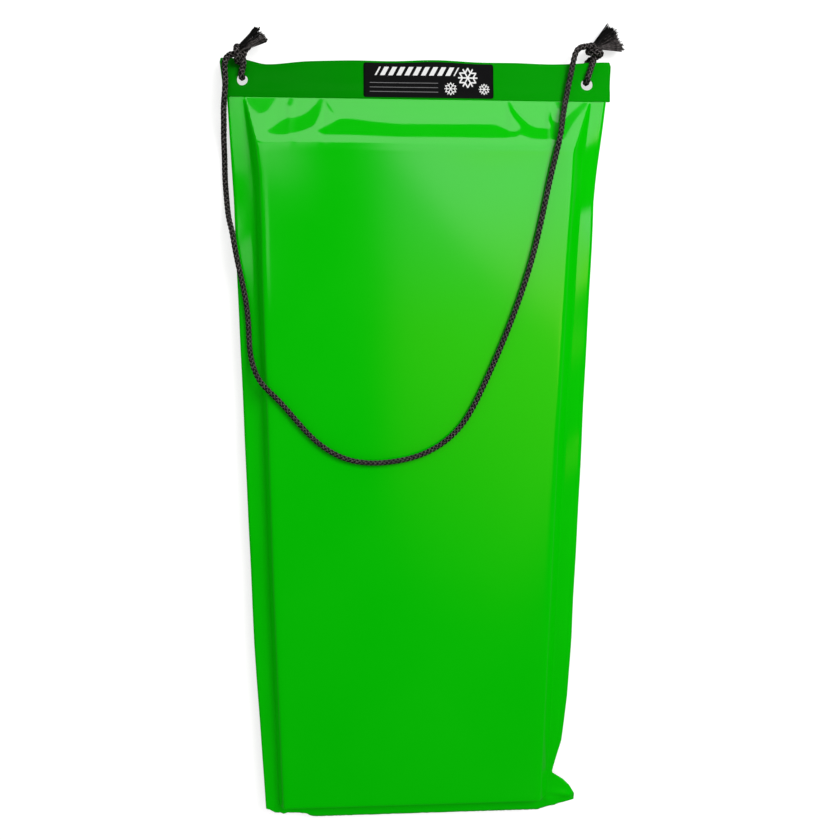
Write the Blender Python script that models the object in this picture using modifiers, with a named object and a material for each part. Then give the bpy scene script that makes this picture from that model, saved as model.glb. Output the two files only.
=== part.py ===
"""Foam snow sled: a flat foam slab welded between two PVC films, with a header strip and a tow rope.

The sled lies flat on the ground at z = 0. +Y runs towards the header, +X to the right and +Z up.
The origin is below the middle of the sled. Lengths are in metres.
"""
import math

import bmesh
import bpy
import numpy as np
from mathutils import Matrix, Vector

# Driving sizes of the sled
LENGTH = 1.100
HEADER_WIDTH = 0.500
THICKNESS = 0.050
WELD_HEIGHT = 0.025
FILM = 0.0006
CLEARANCE = 0.0003

# Header strip: one strip folded over the ends of both films
HEADER_DEPTH = 0.0475
HEADER_OVERLAP = 0.010
HEADER_SQUEEZE = 0.006
HEADER_FALL = 0.010
FOLD_STEPS = 4

# Tow holes punched through the header strip
HOLE_DIAMETER = 0.015
HOLE_TO_END = 0.030
HOLE_TO_EDGE = 0.0265
HOLE_SIDES = 32

# Films: the weld line runs inside a loose flange, and the film rises from it to the top of the foam
WELD_WIDTH = 0.431
SIDE_FLANGE = 0.021
FOOT_FLANGE = 0.022
SIDE_SLOPE = 0.0175
HEADER_SLOPE = 0.0565
FOOT_SLOPE = 0.014
CROWN = 0.0015
SIDE_FLANGE_FALL = 0.002
FOOT_FLANGE_FALL = 0.003
SIDE_ROUND_POWER = 2.0
HEADER_ROUND_POWER = 1.3
FOOT_ROUND_POWER = 2.0
CROWN_ACROSS_POWER = 2
CROWN_ALONG_POWER = 4

# How the cut edge of the films wanders: flared at the header, drawn in at the foot, an ear at the corner
HEADER_FLARE = 0.006
HEADER_FLARE_LENGTH = 0.060
FOOT_DRAW = 0.007
FOOT_DRAW_LENGTH = 0.300
PINCH_DEPTH = 0.013
PINCH_LENGTH = 0.026
PINCH_FROM_FOOT = 0.073
EAR_REACH = 0.016
EAR_LENGTH = 0.017
EAR_FROM_FOOT = 0.027
CORNER_CUT_LEFT = 0.018
CORNER_CUT_RIGHT = 0.014
CORNER_CUT_WIDTH = 0.034

# Foam slab: its long edges stand a little inside the weld line
FOAM_SIDE_INSET = 0.0125
FOAM_HEADER_INSET = 0.0525
FOAM_FOOT_INSET = 0.0100
FOAM_EASE = 0.0009

# Sticker on the header
LABEL_WIDTH = 0.166
LABEL_HEIGHT = 0.0435
LABEL_THICKNESS = 0.0002
LABEL_CORNER = 0.003
LABEL_FROM_CENTRE = 0.016
LABEL_FROM_EDGE = 0.0025
LABEL_CORNER_STEPS = 3

# Rope: braided cord, drawn thinner where it is pulled tight in its knots
ROPE_DIAMETER = 0.008
KNOT_ROPE_DIAMETER = 0.0064
ROPE_POINTS = 80
HITCH_POINTS = 64
ROPE_BEVEL_RESOLUTION = 3
HITCH_BEVEL_RESOLUTION = 2
LEAST_ROPE_GAP = 0.0004
SAME_BEND_LENGTH = 0.014
FINE_STEPS = 24
BEND_WEIGHT = 0.030

# Frayed rope ends
LEFT_FRAY_LENGTH = 0.026
LEFT_FRAY_WIDTH = 0.024
LEFT_FRAY_DEPTH = 0.012
RIGHT_FRAY_LENGTH = 0.033
RIGHT_FRAY_WIDTH = 0.040
RIGHT_FRAY_DEPTH = 0.012
FRAY_SIDES = 24
FRAY_LOBES = 8
FRAY_LOBE_DEPTH_SHARE = 0.16
FRAY_RAGGED_SHARE = 0.14
FRAY_RING_SHARES = (0.25, 0.5, 0.75)
FRAY_FLARE_POWER = 1.2

# Grid lines, as shares of the stretch that they divide
SLOPE_LINE_SHARES = (0.3, 0.55, 0.85)
TOP_COLUMN_SHARES = (-1.0, -0.82, -0.5, 0.0, 0.5, 0.82, 1.0)
TOP_ROW_SHARES = (0.0, 0.04, 0.12, 0.25, 0.4, 0.55, 0.7, 0.8, 0.9, 1.0)
FOOT_EDGE_ROW_SHARES = (0.0, 0.5)

# Route of the free rope, left knot to right knot: over the header's corner, along the ground beside
# the sled, up over the flange, across the top in a wide bow and back over the header
ROPE_ROUTE = (
    (-0.2252, 0.5520, 0.0262),
    (-0.2270, 0.55192, 0.02622),
    (-0.2322, 0.5508, 0.0262),
    (-0.2366, 0.5474, 0.0260),
    (-0.2390, 0.5424, 0.0257),
    (-0.2394, 0.5300, 0.0263),
    (-0.2392, 0.5160, 0.0292),
    (-0.2402, 0.5030, 0.0316),
    (-0.2426, 0.4880, 0.0286),
    (-0.2448, 0.4730, 0.0212),
    (-0.2473, 0.4560, 0.0130),
    (-0.2490, 0.4320, 0.0059),
    (-0.2499, 0.4060, 0.0045),
    (-0.2489, 0.3780, 0.0056),
    (-0.2452, 0.3540, 0.0156),
    (-0.2402, 0.3385, 0.0263),
    (-0.2373, 0.3230, 0.0301),
    (-0.2336, 0.2979, 0.0303),
    (-0.2270, 0.2600, 0.0298),
    (-0.2234, 0.2150, 0.0297),
    (-0.2223, 0.1800, 0.0316),
    (-0.2165, 0.1585, 0.0402),
    (-0.2050, 0.1400, 0.0515),
    (-0.1890, 0.1235, 0.0538),
    (-0.1310, 0.0580, 0.0541),
    (-0.0920, 0.0357, 0.0543),
    (-0.0360, 0.0320, 0.0546),
    (0.0140, 0.0450, 0.0546),
    (0.0560, 0.0760, 0.0545),
    (0.0885, 0.1320, 0.0543),
    (0.1250, 0.2220, 0.0539),
    (0.1540, 0.3190, 0.0536),
    (0.1735, 0.4200, 0.0536),
    (0.1800, 0.4500, 0.0528),
    (0.1837, 0.4680, 0.0479),
    (0.1872, 0.4870, 0.0388),
    (0.1916, 0.5060, 0.0314),
    (0.1954, 0.5243, 0.0270),
    (0.1988, 0.5400, 0.0243),
    (0.2024, 0.5580, 0.0230),
    (0.2051, 0.5641, 0.0222),
    (0.2098, 0.5678, 0.0217),
    (0.2154, 0.56892, 0.02152),
    (0.2172, 0.5690, 0.0215),
)

# Route of each tied end: out of the free rope, down over the header, through the hole, back below the
# header, once around itself and out to the frayed end
LEFT_HITCH_ROUTE = (
    (-0.2249, 0.5520, 0.0262),
    (-0.2233, 0.55201, 0.02627),
    (-0.2200, 0.5511, 0.0276),
    (-0.2172, 0.5488, 0.0284),
    (-0.2160, 0.5450, 0.0278),
    (-0.2165, 0.5400, 0.0258),
    (-0.2180, 0.5353, 0.0243),
    (-0.2193, 0.5314, 0.0239),
    (-0.2200, 0.5280, 0.0226),
    (-0.2200, 0.5266, 0.0190),
    (-0.2200, 0.5280, 0.0154),
    (-0.2201, 0.5314, 0.0140),
    (-0.2204, 0.5360, 0.0124),
    (-0.2209, 0.5410, 0.0108),
    (-0.2216, 0.5460, 0.0094),
    (-0.2222, 0.5515, 0.0088),
    (-0.2226, 0.5568, 0.0104),
    (-0.2229, 0.5602, 0.0150),
    (-0.2230, 0.5610, 0.0215),
    (-0.2230, 0.5590, 0.0288),
    (-0.2226, 0.5540, 0.0340),
    (-0.2220, 0.5488, 0.0340),
    (-0.2232, 0.5440, 0.0290),
    (-0.2218, 0.5442, 0.0228),
    (-0.2190, 0.5478, 0.0206),
    (-0.2168, 0.5528, 0.0204),
    (-0.2150, 0.5580, 0.0190),
    (-0.2128, 0.5620, 0.0158),
    (-0.2098, 0.5643, 0.0147),
)
RIGHT_HITCH_ROUTE = (
    (0.2175, 0.5690, 0.0215),
    (0.2192, 0.56912, 0.02153),
    (0.2230, 0.5698, 0.0220),
    (0.2262, 0.5691, 0.0213),
    (0.2290, 0.5669, 0.0193),
    (0.2301, 0.5632, 0.0173),
    (0.2299, 0.5595, 0.0170),
    (0.2284, 0.5545, 0.0183),
    (0.2262, 0.5490, 0.0200),
    (0.2236, 0.5410, 0.0217),
    (0.2214, 0.5354, 0.0234),
    (0.2203, 0.5314, 0.0240),
    (0.2200, 0.5280, 0.0226),
    (0.2200, 0.5266, 0.0190),
    (0.2200, 0.5280, 0.0154),
    (0.2200, 0.5314, 0.0140),
    (0.2202, 0.5356, 0.0124),
    (0.2204, 0.5415, 0.0098),
    (0.2212, 0.5490, 0.0066),
    (0.2246, 0.5550, 0.0041),
    (0.2304, 0.5590, 0.0040),
    (0.2352, 0.5608, 0.0080),
    (0.2372, 0.5614, 0.0147),
    (0.2354, 0.5617, 0.0214),
    (0.2298, 0.5620, 0.0246),
    (0.2242, 0.5620, 0.0222),
    (0.2218, 0.5640, 0.0160),
    (0.2230, 0.5666, 0.0102),
    (0.2258, 0.5690, 0.0074),
    (0.2295, 0.5708, 0.0068),
    (0.2335, 0.5724, 0.0068),
)

# Places worked out from the sizes above
HEADER_EDGE = LENGTH / 2
HEADER_LINE = HEADER_EDGE - HEADER_DEPTH
FILM_END = HEADER_LINE + HEADER_OVERLAP
FOOT_EDGE = -LENGTH / 2
FOOT_WELD = FOOT_EDGE + FOOT_FLANGE
WELD_X = WELD_WIDTH / 2
TOP_X = WELD_X - SIDE_SLOPE
TOP_HEADER_Y = HEADER_LINE - HEADER_SLOPE
TOP_FOOT_Y = FOOT_WELD + FOOT_SLOPE
FOAM_X = WELD_X - FOAM_SIDE_INSET
FOAM_HEADER_Y = HEADER_LINE - FOAM_HEADER_INSET
FOAM_FOOT_Y = FOOT_WELD + FOAM_FOOT_INSET
FILM_OFFSET = (CLEARANCE + FILM) / 2
LEAF_OFFSET = FILM_OFFSET + FILM + CLEARANCE
TOP_RISE = THICKNESS - WELD_HEIGHT - FILM_OFFSET - FILM / 2 - CROWN
BOTTOM_DROP = WELD_HEIGHT - FILM_OFFSET - FILM / 2

PARTS = "foam_snow_sled"
CUTTERS = "foam_snow_sled_cutters"
SHADE_ANGLE = 35.0
FRAY_SHADE_ANGLE = 50.0


def clear_scene():
    for item in list(bpy.data.objects):
        bpy.data.objects.remove(item, do_unlink=True)


def new_collection(name):
    collection = bpy.data.collections.new(name)
    bpy.context.scene.collection.children.link(collection)
    return collection


def new_material(name, colour, roughness):
    material = bpy.data.materials.new(name)
    material.use_nodes = True
    shader = material.node_tree.nodes["Principled BSDF"]
    shader.inputs["Base Color"].default_value = (*colour, 1.0)
    shader.inputs["Roughness"].default_value = roughness
    shader.inputs["Metallic"].default_value = 0.0
    material.diffuse_color = (*colour, 1.0)
    return material


def rise_share(distance, width, power):
    """Share of the full height that the film has at a distance inside its weld line."""
    share = min(max(distance / width, 0.0), 1.0)
    return 1.0 - (1.0 - share) ** power


def tent_share(x, y):
    """Share of the full height at a point: the film is held down by whichever weld is nearer."""
    side = rise_share(WELD_X - abs(x), SIDE_SLOPE, SIDE_ROUND_POWER)
    header = rise_share(HEADER_LINE - y, HEADER_SLOPE, HEADER_ROUND_POWER)
    foot = rise_share(y - FOOT_WELD, FOOT_SLOPE, FOOT_ROUND_POWER)
    return side * header * foot


def crown_share(x, y):
    """Gentle crown of the top, nil at the edges of the flat and one in the middle."""
    middle = (TOP_HEADER_Y + TOP_FOOT_Y) / 2
    half = (TOP_HEADER_Y - TOP_FOOT_Y) / 2
    across = 1.0 - min(abs(x) / TOP_X, 1.0) ** CROWN_ACROSS_POWER
    along = 1.0 - min(abs(y - middle) / half, 1.0) ** CROWN_ALONG_POWER
    return across * along


def weld_plane(x, y):
    """Height of the plane between the two films: it falls at the header and in the loose flanges."""
    header = max(y - HEADER_LINE, 0.0) / HEADER_DEPTH * HEADER_FALL
    side = max(abs(x) - WELD_X, 0.0) / SIDE_FLANGE * SIDE_FLANGE_FALL
    side *= rise_share(HEADER_LINE - y, HEADER_FLARE_LENGTH, 1.0)
    foot = max(FOOT_WELD - y, 0.0) / FOOT_FLANGE * FOOT_FLANGE_FALL
    return WELD_HEIGHT - header - side - foot


def top_height(x, y):
    return weld_plane(x, y) + FILM_OFFSET + TOP_RISE * tent_share(x, y) + CROWN * crown_share(x, y)


def bottom_height(x, y):
    return weld_plane(x, y) - FILM_OFFSET - BOTTOM_DROP * tent_share(x, y)


def leaf_offset(y):
    """Half the spread of the header strip's leaves: wide over the films, tight beyond them."""
    share = min(max((y - FILM_END) / HEADER_SQUEEZE, 0.0), 1.0)
    return LEAF_OFFSET + (FILM_OFFSET - LEAF_OFFSET) * share


def bump(distance, length):
    return math.exp(-((distance / length) ** 2))


def flange_edge(x_side, y):
    """Half width of the films at their cut edge, left (-1) or right (1), at a place along the sled."""
    flare = HEADER_FLARE * min(max(1.0 - (HEADER_LINE - y) / HEADER_FLARE_LENGTH, 0.0), 1.0)
    edge = WELD_X + SIDE_FLANGE + flare * (1.0 if x_side > 0 else 0.0)
    from_foot = y - FOOT_EDGE
    edge -= FOOT_DRAW * min(max(1.0 - from_foot / FOOT_DRAW_LENGTH, 0.0), 1.0)
    if x_side > 0:
        edge -= PINCH_DEPTH * bump(from_foot - PINCH_FROM_FOOT, PINCH_LENGTH)
        edge += EAR_REACH * bump(from_foot - EAR_FROM_FOOT, EAR_LENGTH)
    return edge


def foot_edge(x):
    """Place of the cut edge at the foot: both corners are drawn back."""
    left = max(1.0 - (x + WELD_X + SIDE_FLANGE) / CORNER_CUT_WIDTH, 0.0) * CORNER_CUT_LEFT
    right = max(1.0 - (WELD_X + SIDE_FLANGE - x) / CORNER_CUT_WIDTH, 0.0) * CORNER_CUT_RIGHT
    return FOOT_EDGE + left + right


def between(start, end, shares):
    return [start + (end - start) * share for share in shares]


def cover_columns():
    """Places across the sled where the films have a grid line; the outer two follow the cut edge."""
    slope = between(WELD_X, TOP_X, SLOPE_LINE_SHARES)
    outside = [WELD_X + SIDE_FLANGE, WELD_X, slope[0], slope[1], FOAM_X, slope[2]]
    right = [TOP_X * share for share in TOP_COLUMN_SHARES] + outside[::-1]
    return [-x for x in outside] + right


def cover_rows():
    """Places along the sled where the films have a grid line, foot to header."""
    foot = between(FOOT_EDGE, FOOT_WELD, FOOT_EDGE_ROW_SHARES) + [FOOT_WELD]
    foot += sorted(between(FOOT_WELD, TOP_FOOT_Y, SLOPE_LINE_SHARES) + [FOAM_FOOT_Y])
    top = between(TOP_FOOT_Y, TOP_HEADER_Y, TOP_ROW_SHARES)
    header = sorted(between(HEADER_LINE, TOP_HEADER_Y, SLOPE_LINE_SHARES) + [FOAM_HEADER_Y])
    return foot + top + header + [HEADER_LINE, FILM_END]


def grid_mesh(column_count, row_count):
    """A flat grid whose quads are all split along the same diagonal, with its vertices by line."""
    mesh = bmesh.new()
    bmesh.ops.create_grid(mesh, x_segments=column_count - 1, y_segments=row_count - 1, size=1.0)
    places = {}
    for vertex in mesh.verts:
        column = round((vertex.co.x + 1.0) / 2.0 * (column_count - 1))
        row = round((vertex.co.y + 1.0) / 2.0 * (row_count - 1))
        places[vertex] = (column, row)
    bmesh.ops.triangulate(mesh, faces=mesh.faces[:], quad_method="FIXED")
    return mesh, places


def link_mesh(name, mesh, material, collection):
    data = bpy.data.meshes.new(name)
    mesh.to_mesh(data)
    mesh.free()
    data.materials.append(material)
    item = bpy.data.objects.new(name, data)
    collection.objects.link(item)
    return item


def shade(item, degrees=SHADE_ANGLE):
    item.data.shade_smooth()
    item.data.set_sharp_from_angle(angle=math.radians(degrees))


def thicken(item, thickness):
    shell = item.modifiers.new("thickness", "SOLIDIFY")
    shell.thickness = thickness
    shell.offset = 0.0
    shell.use_even_offset = True


def cover_place(columns, rows, column, row):
    """Plan place of a grid point of the films, with the outer lines led along the cut edge."""
    x = columns[column]
    y = rows[row]
    if row < len(FOOT_EDGE_ROW_SHARES):
        share = FOOT_EDGE_ROW_SHARES[row]
        y = foot_edge(x) + (FOOT_WELD - foot_edge(x)) * share
    if column in (0, len(columns) - 1):
        x = math.copysign(flange_edge(x, y), x)
    return x, y


def make_cover(name, height, material, collection):
    """One film: a pan pressed over the foam, with its flange, as a surface given the film's thickness."""
    columns = cover_columns()
    rows = cover_rows()
    mesh, places = grid_mesh(len(columns), len(rows))
    for vertex, (column, row) in places.items():
        x, y = cover_place(columns, rows, column, row)
        vertex.co = (x, y, height(x, y))
    item = link_mesh(name, mesh, material, collection)
    thicken(item, FILM)
    shade(item)
    return item


def make_foam_core(material, collection):
    """The slab: it fills the films up to their shoulders and stands clear of the weld lines."""
    columns = [x for x in cover_columns() if abs(x) <= FOAM_X]
    rows = [y for y in cover_rows() if FOAM_FOOT_Y <= y <= FOAM_HEADER_Y]
    mesh, places = grid_mesh(len(columns), len(rows))
    plan = {vertex: (columns[column], rows[row]) for vertex, (column, row) in places.items()}
    for vertex, (x, y) in plan.items():
        vertex.co = (x, y, bottom_height(x, y) + FOAM_EASE)
    lifted = bmesh.ops.extrude_face_region(mesh, geom=mesh.faces[:])
    for vertex in lifted["geom"]:
        if isinstance(vertex, bmesh.types.BMVert):
            vertex.co.z = top_height(vertex.co.x, vertex.co.y) - FOAM_EASE
    bmesh.ops.recalc_face_normals(mesh, faces=mesh.faces[:])
    item = link_mesh("foam_core", mesh, material, collection)
    shade(item)
    return item


def header_section():
    """Cross section of the folded strip, from the lower leaf's edge round the fold to the upper leaf's."""
    leaf = [HEADER_LINE, FILM_END + CLEARANCE, FILM_END + HEADER_SQUEEZE]
    fold_y = HEADER_EDGE - FILM_OFFSET - FILM / 2
    upper = [(y, weld_plane(0.0, y) + leaf_offset(y)) for y in leaf]
    lower = [(y, weld_plane(0.0, y) - leaf_offset(y)) for y in leaf]
    fold = []
    for step in range(FOLD_STEPS + 1):
        turn = -math.pi / 2 + math.pi * step / FOLD_STEPS
        y = fold_y + FILM_OFFSET * math.cos(turn)
        fold.append((y, weld_plane(0.0, fold_y) + FILM_OFFSET * math.sin(turn)))
    return lower + fold + upper[::-1]


def hole_centre(x_side):
    x = x_side * (HEADER_WIDTH / 2 - HOLE_TO_END)
    y = HEADER_EDGE - HOLE_TO_EDGE
    return Vector((x, y, weld_plane(0.0, y)))


def make_hole_cutter(name, x_side, collection):
    """A round punch square to the header strip."""
    tilt = Matrix.Rotation(-math.atan2(HEADER_FALL, HEADER_DEPTH), 4, "X")
    mesh = bmesh.new()
    bmesh.ops.create_cone(
        mesh,
        cap_ends=True,
        segments=HOLE_SIDES,
        radius1=HOLE_DIAMETER / 2,
        radius2=HOLE_DIAMETER / 2,
        depth=HOLE_DIAMETER,
        matrix=Matrix.Translation(hole_centre(x_side)) @ tilt,
    )
    data = bpy.data.meshes.new(name)
    mesh.to_mesh(data)
    mesh.free()
    cutter = bpy.data.objects.new(name, data)
    cutter.hide_render = True
    cutter.display_type = "WIRE"
    collection.objects.link(cutter)
    return cutter


def make_header_strip(material, collection, cutters):
    """One strip folded over both films at the front, with a tow hole punched near each end."""
    section = header_section()
    ends = (-HEADER_WIDTH / 2, HEADER_WIDTH / 2)
    mesh, places = grid_mesh(len(ends), len(section))
    for vertex, (column, row) in places.items():
        y, z = section[row]
        vertex.co = (ends[column], y, z)
    item = link_mesh("header_strip", mesh, material, collection)
    thicken(item, FILM)
    for side_name, x_side in (("left", -1.0), ("right", 1.0)):
        cut = item.modifiers.new(side_name + " hole", "BOOLEAN")
        cut.operation = "DIFFERENCE"
        cut.solver = "EXACT"
        cut.object = make_hole_cutter(side_name + "_hole_cutter", x_side, cutters)
    shade(item)
    return item


def label_rows():
    """Rows of the sticker: each with its place and how far the rounded corner draws it in."""
    low = HEADER_EDGE - LABEL_FROM_EDGE - LABEL_HEIGHT
    high = HEADER_EDGE - LABEL_FROM_EDGE
    corner = []
    for step in range(LABEL_CORNER_STEPS + 1):
        turn = math.pi / 2 * step / LABEL_CORNER_STEPS
        inset = LABEL_CORNER * (1.0 - math.sin(turn))
        corner.append((LABEL_CORNER * (1.0 - math.cos(turn)), inset))
    rows = [(low + rise, inset) for rise, inset in corner]
    rows += [(FILM_END + CLEARANCE, 0.0), (FILM_END + HEADER_SQUEEZE, 0.0)]
    rows += [(high - rise, inset) for rise, inset in corner[::-1]]
    return rows


def make_label(material, collection):
    """The sticker on the header's upper leaf, following its bend."""
    rows = label_rows()
    mesh, places = grid_mesh(2, len(rows))
    rest = FILM / 2 + CLEARANCE + LABEL_THICKNESS / 2
    for vertex, (column, row) in places.items():
        y, inset = rows[row]
        half = LABEL_WIDTH / 2 - inset
        x = LABEL_FROM_CENTRE + (half if column else -half)
        vertex.co = (x, y, weld_plane(0.0, y) + leaf_offset(y) + rest)
    item = link_mesh("label", mesh, material, collection)
    thicken(item, LABEL_THICKNESS)
    return item


def smooth_route(points, count):
    """Points on the natural cubic curve through a route, closer in the bends, and the curve's length."""
    route = np.array(points, dtype=float)
    steps = np.linalg.norm(np.diff(route, axis=0), axis=1)
    places = np.concatenate([[0.0], np.cumsum(steps)])
    system = np.eye(len(route))
    turns = np.zeros_like(route)
    for index in range(1, len(route) - 1):
        before, after = steps[index - 1], steps[index]
        system[index, index - 1:index + 2] = (before, 2 * (before + after), after)
        slope_in = (route[index] - route[index - 1]) / before
        slope_out = (route[index + 1] - route[index]) / after
        turns[index] = 6 * (slope_out - slope_in)
    curving = np.linalg.solve(system, turns)
    at = np.linspace(0.0, places[-1], FINE_STEPS * len(route))
    index = np.clip(np.searchsorted(places, at, side="right") - 1, 0, len(steps) - 1)
    step = steps[index][:, None]
    left = (places[index + 1] - at)[:, None]
    right = (at - places[index])[:, None]
    fine = (curving[index] * left ** 3 + curving[index + 1] * right ** 3) / (6 * step)
    fine += (route[index] / step - curving[index] * step / 6) * left
    fine += (route[index + 1] / step - curving[index + 1] * step / 6) * right
    runs = np.diff(fine, axis=0)
    run_lengths = np.linalg.norm(runs, axis=1)
    headings = runs / run_lengths[:, None]
    turning = np.linalg.norm(np.diff(headings, axis=0, prepend=headings[:1]), axis=1)
    lengths = np.concatenate([[0.0], np.cumsum(run_lengths)])
    measure = lengths + BEND_WEIGHT * np.concatenate([[0.0], np.cumsum(turning)])
    inner_ends = np.interp([steps[0], lengths[-1] - steps[-1]], lengths, measure)
    chosen = np.concatenate([[0.0], np.linspace(*inner_ends, count - 2), [measure[-1]]])
    spread = np.column_stack([np.interp(chosen, measure, fine[:, axis]) for axis in range(3)])
    return spread, lengths[-1]


def least_self_gap(points, diameter):
    """Least gap between stretches of one rope that don't belong to the same bend."""
    lengths = np.concatenate([[0.0], np.cumsum(np.linalg.norm(np.diff(points, axis=0), axis=1))])
    apart = np.abs(lengths[:, None] - lengths[None, :]) > SAME_BEND_LENGTH
    distances = np.linalg.norm(points[:, None, :] - points[None, :, :], axis=2)
    return distances[apart].min() - diameter


def make_rope(name, route, count, diameter, bevel_resolution, material, collection):
    """A length of rope: a round tube along its route, closed at both ends."""
    points, length = smooth_route(route, count)
    data = bpy.data.curves.new(name, "CURVE")
    data.dimensions = "3D"
    data.bevel_depth = diameter / 2
    data.bevel_resolution = bevel_resolution
    data.use_fill_caps = True
    spline = data.splines.new("POLY")
    spline.points.add(count - 1)
    for point, place in zip(spline.points, points):
        point.co = (*place, 1.0)
    data.materials.append(material)
    item = bpy.data.objects.new(name, data)
    collection.objects.link(item)
    print(name, "length", round(length, 4))
    return item, points


def hang_on_axis(item, holder):
    """Parent an object to the empty on its hinge axis without moving it."""
    item.parent = holder
    item.matrix_parent_inverse = holder.matrix_world.inverted()


def make_rope_hinge(collection):
    """Empty on the line through both ends of the free rope: the rope swings about it."""
    start = Vector(ROPE_ROUTE[0])
    end = Vector(ROPE_ROUTE[-1])
    hinge = bpy.data.objects.new("tow_rope_hinge", None)
    hinge.location = start
    hinge.rotation_euler = (end - start).to_track_quat("X", "Z").to_euler()
    collection.objects.link(hinge)
    bpy.context.view_layer.update()
    return hinge


def make_frayed_end(name, route, size, material, collection):
    """A rope end with its strands let go: it flares from the rope's girth to a flat ragged tuft."""
    length, width, depth = size
    tip = Vector(route[-1])
    heading = (tip - Vector(route[-2])).normalized()
    start = tip + heading * CLEARANCE
    turn = heading.to_track_quat("Z", "Y").to_matrix().to_4x4()
    mesh = bmesh.new()
    bmesh.ops.create_cone(
        mesh,
        cap_ends=True,
        segments=FRAY_SIDES,
        radius1=1.0,
        radius2=1.0,
        depth=length,
        matrix=Matrix.Translation((0.0, 0.0, length / 2)),
    )
    for share in FRAY_RING_SHARES:
        geometry = mesh.verts[:] + mesh.edges[:] + mesh.faces[:]
        ring = (0.0, 0.0, length * share)
        bmesh.ops.bisect_plane(mesh, geom=geometry, plane_co=ring, plane_no=(0.0, 0.0, 1.0))
    for vertex in mesh.verts:
        share = vertex.co.z / length
        angle = math.atan2(vertex.co.y, vertex.co.x)
        lobes = 1.0 - FRAY_LOBE_DEPTH_SHARE * share * (1.0 + math.cos(FRAY_LOBES * angle))
        flare = share ** FRAY_FLARE_POWER
        across = (KNOT_ROPE_DIAMETER + (width - KNOT_ROPE_DIAMETER) * flare) / 2
        through = (KNOT_ROPE_DIAMETER + (depth - KNOT_ROPE_DIAMETER) * flare) / 2
        vertex.co.x = across * math.cos(angle) * lobes
        vertex.co.y = through * math.sin(angle) * lobes
        vertex.co.z -= length * FRAY_RAGGED_SHARE * share * math.cos(angle) ** 2
    mesh.transform(Matrix.Translation(start) @ turn)
    item = link_mesh(name, mesh, material, collection)
    shade(item, FRAY_SHADE_ANGLE)
    return item


def build():
    clear_scene()
    parts = new_collection(PARTS)
    cutters = new_collection(CUTTERS)
    film = new_material("film", (0.0, 0.42, 0.003), 0.28)
    header_film = new_material("header_film", (0.0, 0.28, 0.002), 0.35)
    foam = new_material("foam", (0.82, 0.82, 0.80), 0.85)
    sticker = new_material("sticker", (0.012, 0.012, 0.013), 0.4)
    rope = new_material("rope", (0.028, 0.026, 0.027), 0.75)

    make_foam_core(foam, parts)
    make_cover("top_cover", top_height, film, parts)
    make_cover("bottom_cover", bottom_height, film, parts)
    make_header_strip(header_film, parts, cutters)
    make_label(sticker, parts)

    hinge = make_rope_hinge(parts)
    tow_rope, _ = make_rope(
        "tow_rope", ROPE_ROUTE, ROPE_POINTS, ROPE_DIAMETER, ROPE_BEVEL_RESOLUTION, rope, parts
    )
    hang_on_axis(tow_rope, hinge)
    for side, route in (("left", LEFT_HITCH_ROUTE), ("right", RIGHT_HITCH_ROUTE)):
        name = side + "_hitch"
        _, points = make_rope(
            name, route, HITCH_POINTS, KNOT_ROPE_DIAMETER, HITCH_BEVEL_RESOLUTION, rope, parts
        )
        gap = least_self_gap(points, KNOT_ROPE_DIAMETER)
        print(name, "least gap to itself", round(gap, 5), "over", LEAST_ROPE_GAP, gap > LEAST_ROPE_GAP)
    left_size = (LEFT_FRAY_LENGTH, LEFT_FRAY_WIDTH, LEFT_FRAY_DEPTH)
    make_frayed_end("left_frayed_end", LEFT_HITCH_ROUTE, left_size, rope, parts)
    right_size = (RIGHT_FRAY_LENGTH, RIGHT_FRAY_WIDTH, RIGHT_FRAY_DEPTH)
    make_frayed_end("right_frayed_end", RIGHT_HITCH_ROUTE, right_size, rope, parts)


build()
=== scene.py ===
import math

import bmesh
import bpy
import numpy as np
from mathutils import Matrix, Vector


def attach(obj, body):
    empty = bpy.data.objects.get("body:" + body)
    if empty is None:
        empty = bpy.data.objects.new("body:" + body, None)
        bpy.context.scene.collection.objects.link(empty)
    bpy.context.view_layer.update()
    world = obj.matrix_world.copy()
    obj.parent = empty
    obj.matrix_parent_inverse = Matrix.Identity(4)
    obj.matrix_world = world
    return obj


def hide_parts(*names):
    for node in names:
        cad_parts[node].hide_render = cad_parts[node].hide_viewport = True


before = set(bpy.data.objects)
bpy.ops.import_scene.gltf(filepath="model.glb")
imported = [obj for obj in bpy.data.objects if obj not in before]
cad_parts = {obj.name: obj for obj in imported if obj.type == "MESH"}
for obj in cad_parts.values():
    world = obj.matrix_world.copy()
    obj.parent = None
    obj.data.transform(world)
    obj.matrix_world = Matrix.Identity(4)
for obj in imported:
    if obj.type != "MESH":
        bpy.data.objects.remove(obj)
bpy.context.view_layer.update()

# Studio: the sled lies on a white floor and is seen from above the header end, a little from the left.
# One large soft lamp stands to the right beyond the header, under a dim ceiling with five light
# panels, which the glossy film mirrors as pale streaks. The overhead panel turns warm towards the foot.
CAMERA_PLACE = Vector((-0.044, 0.305, 1.045))
CAMERA_AIM = Vector((0.0054, 0.0895, 0.05))
CAMERA_ROLL = 0.0044
CAMERA_LENS = 32.14
SENSOR_WIDTH = 36.0

# Floor: lit and glowing it is white for the camera, and the film mirrors only these shares of it
FLOOR_SIZE = 12.0
FLOOR_DROP = 0.0008
FLOOR_PAINT = 0.5
FLOOR_GLOW = 0.66
MIRRORED_FLOOR_SHARE = 0.05
FLOOR_IN_FILM = 0.06

LAMP_PLACE = Vector((0.95, 0.95, 1.55))
LAMP_AIM = Vector((0.0, 0.0, 0.0))
LAMP_SIZE = 0.9
LAMP_POWER = 24.0

# Sky: an even light on surfaces, a dim ceiling in mirrors, and a white band low down that fades upward
SKY_GLOW = 0.42
CEILING_GLOW = 0.006
BACKDROP_LOW = 0.03
BACKDROP_HIGH = 0.07
LEAST_RISE = 0.04
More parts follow.
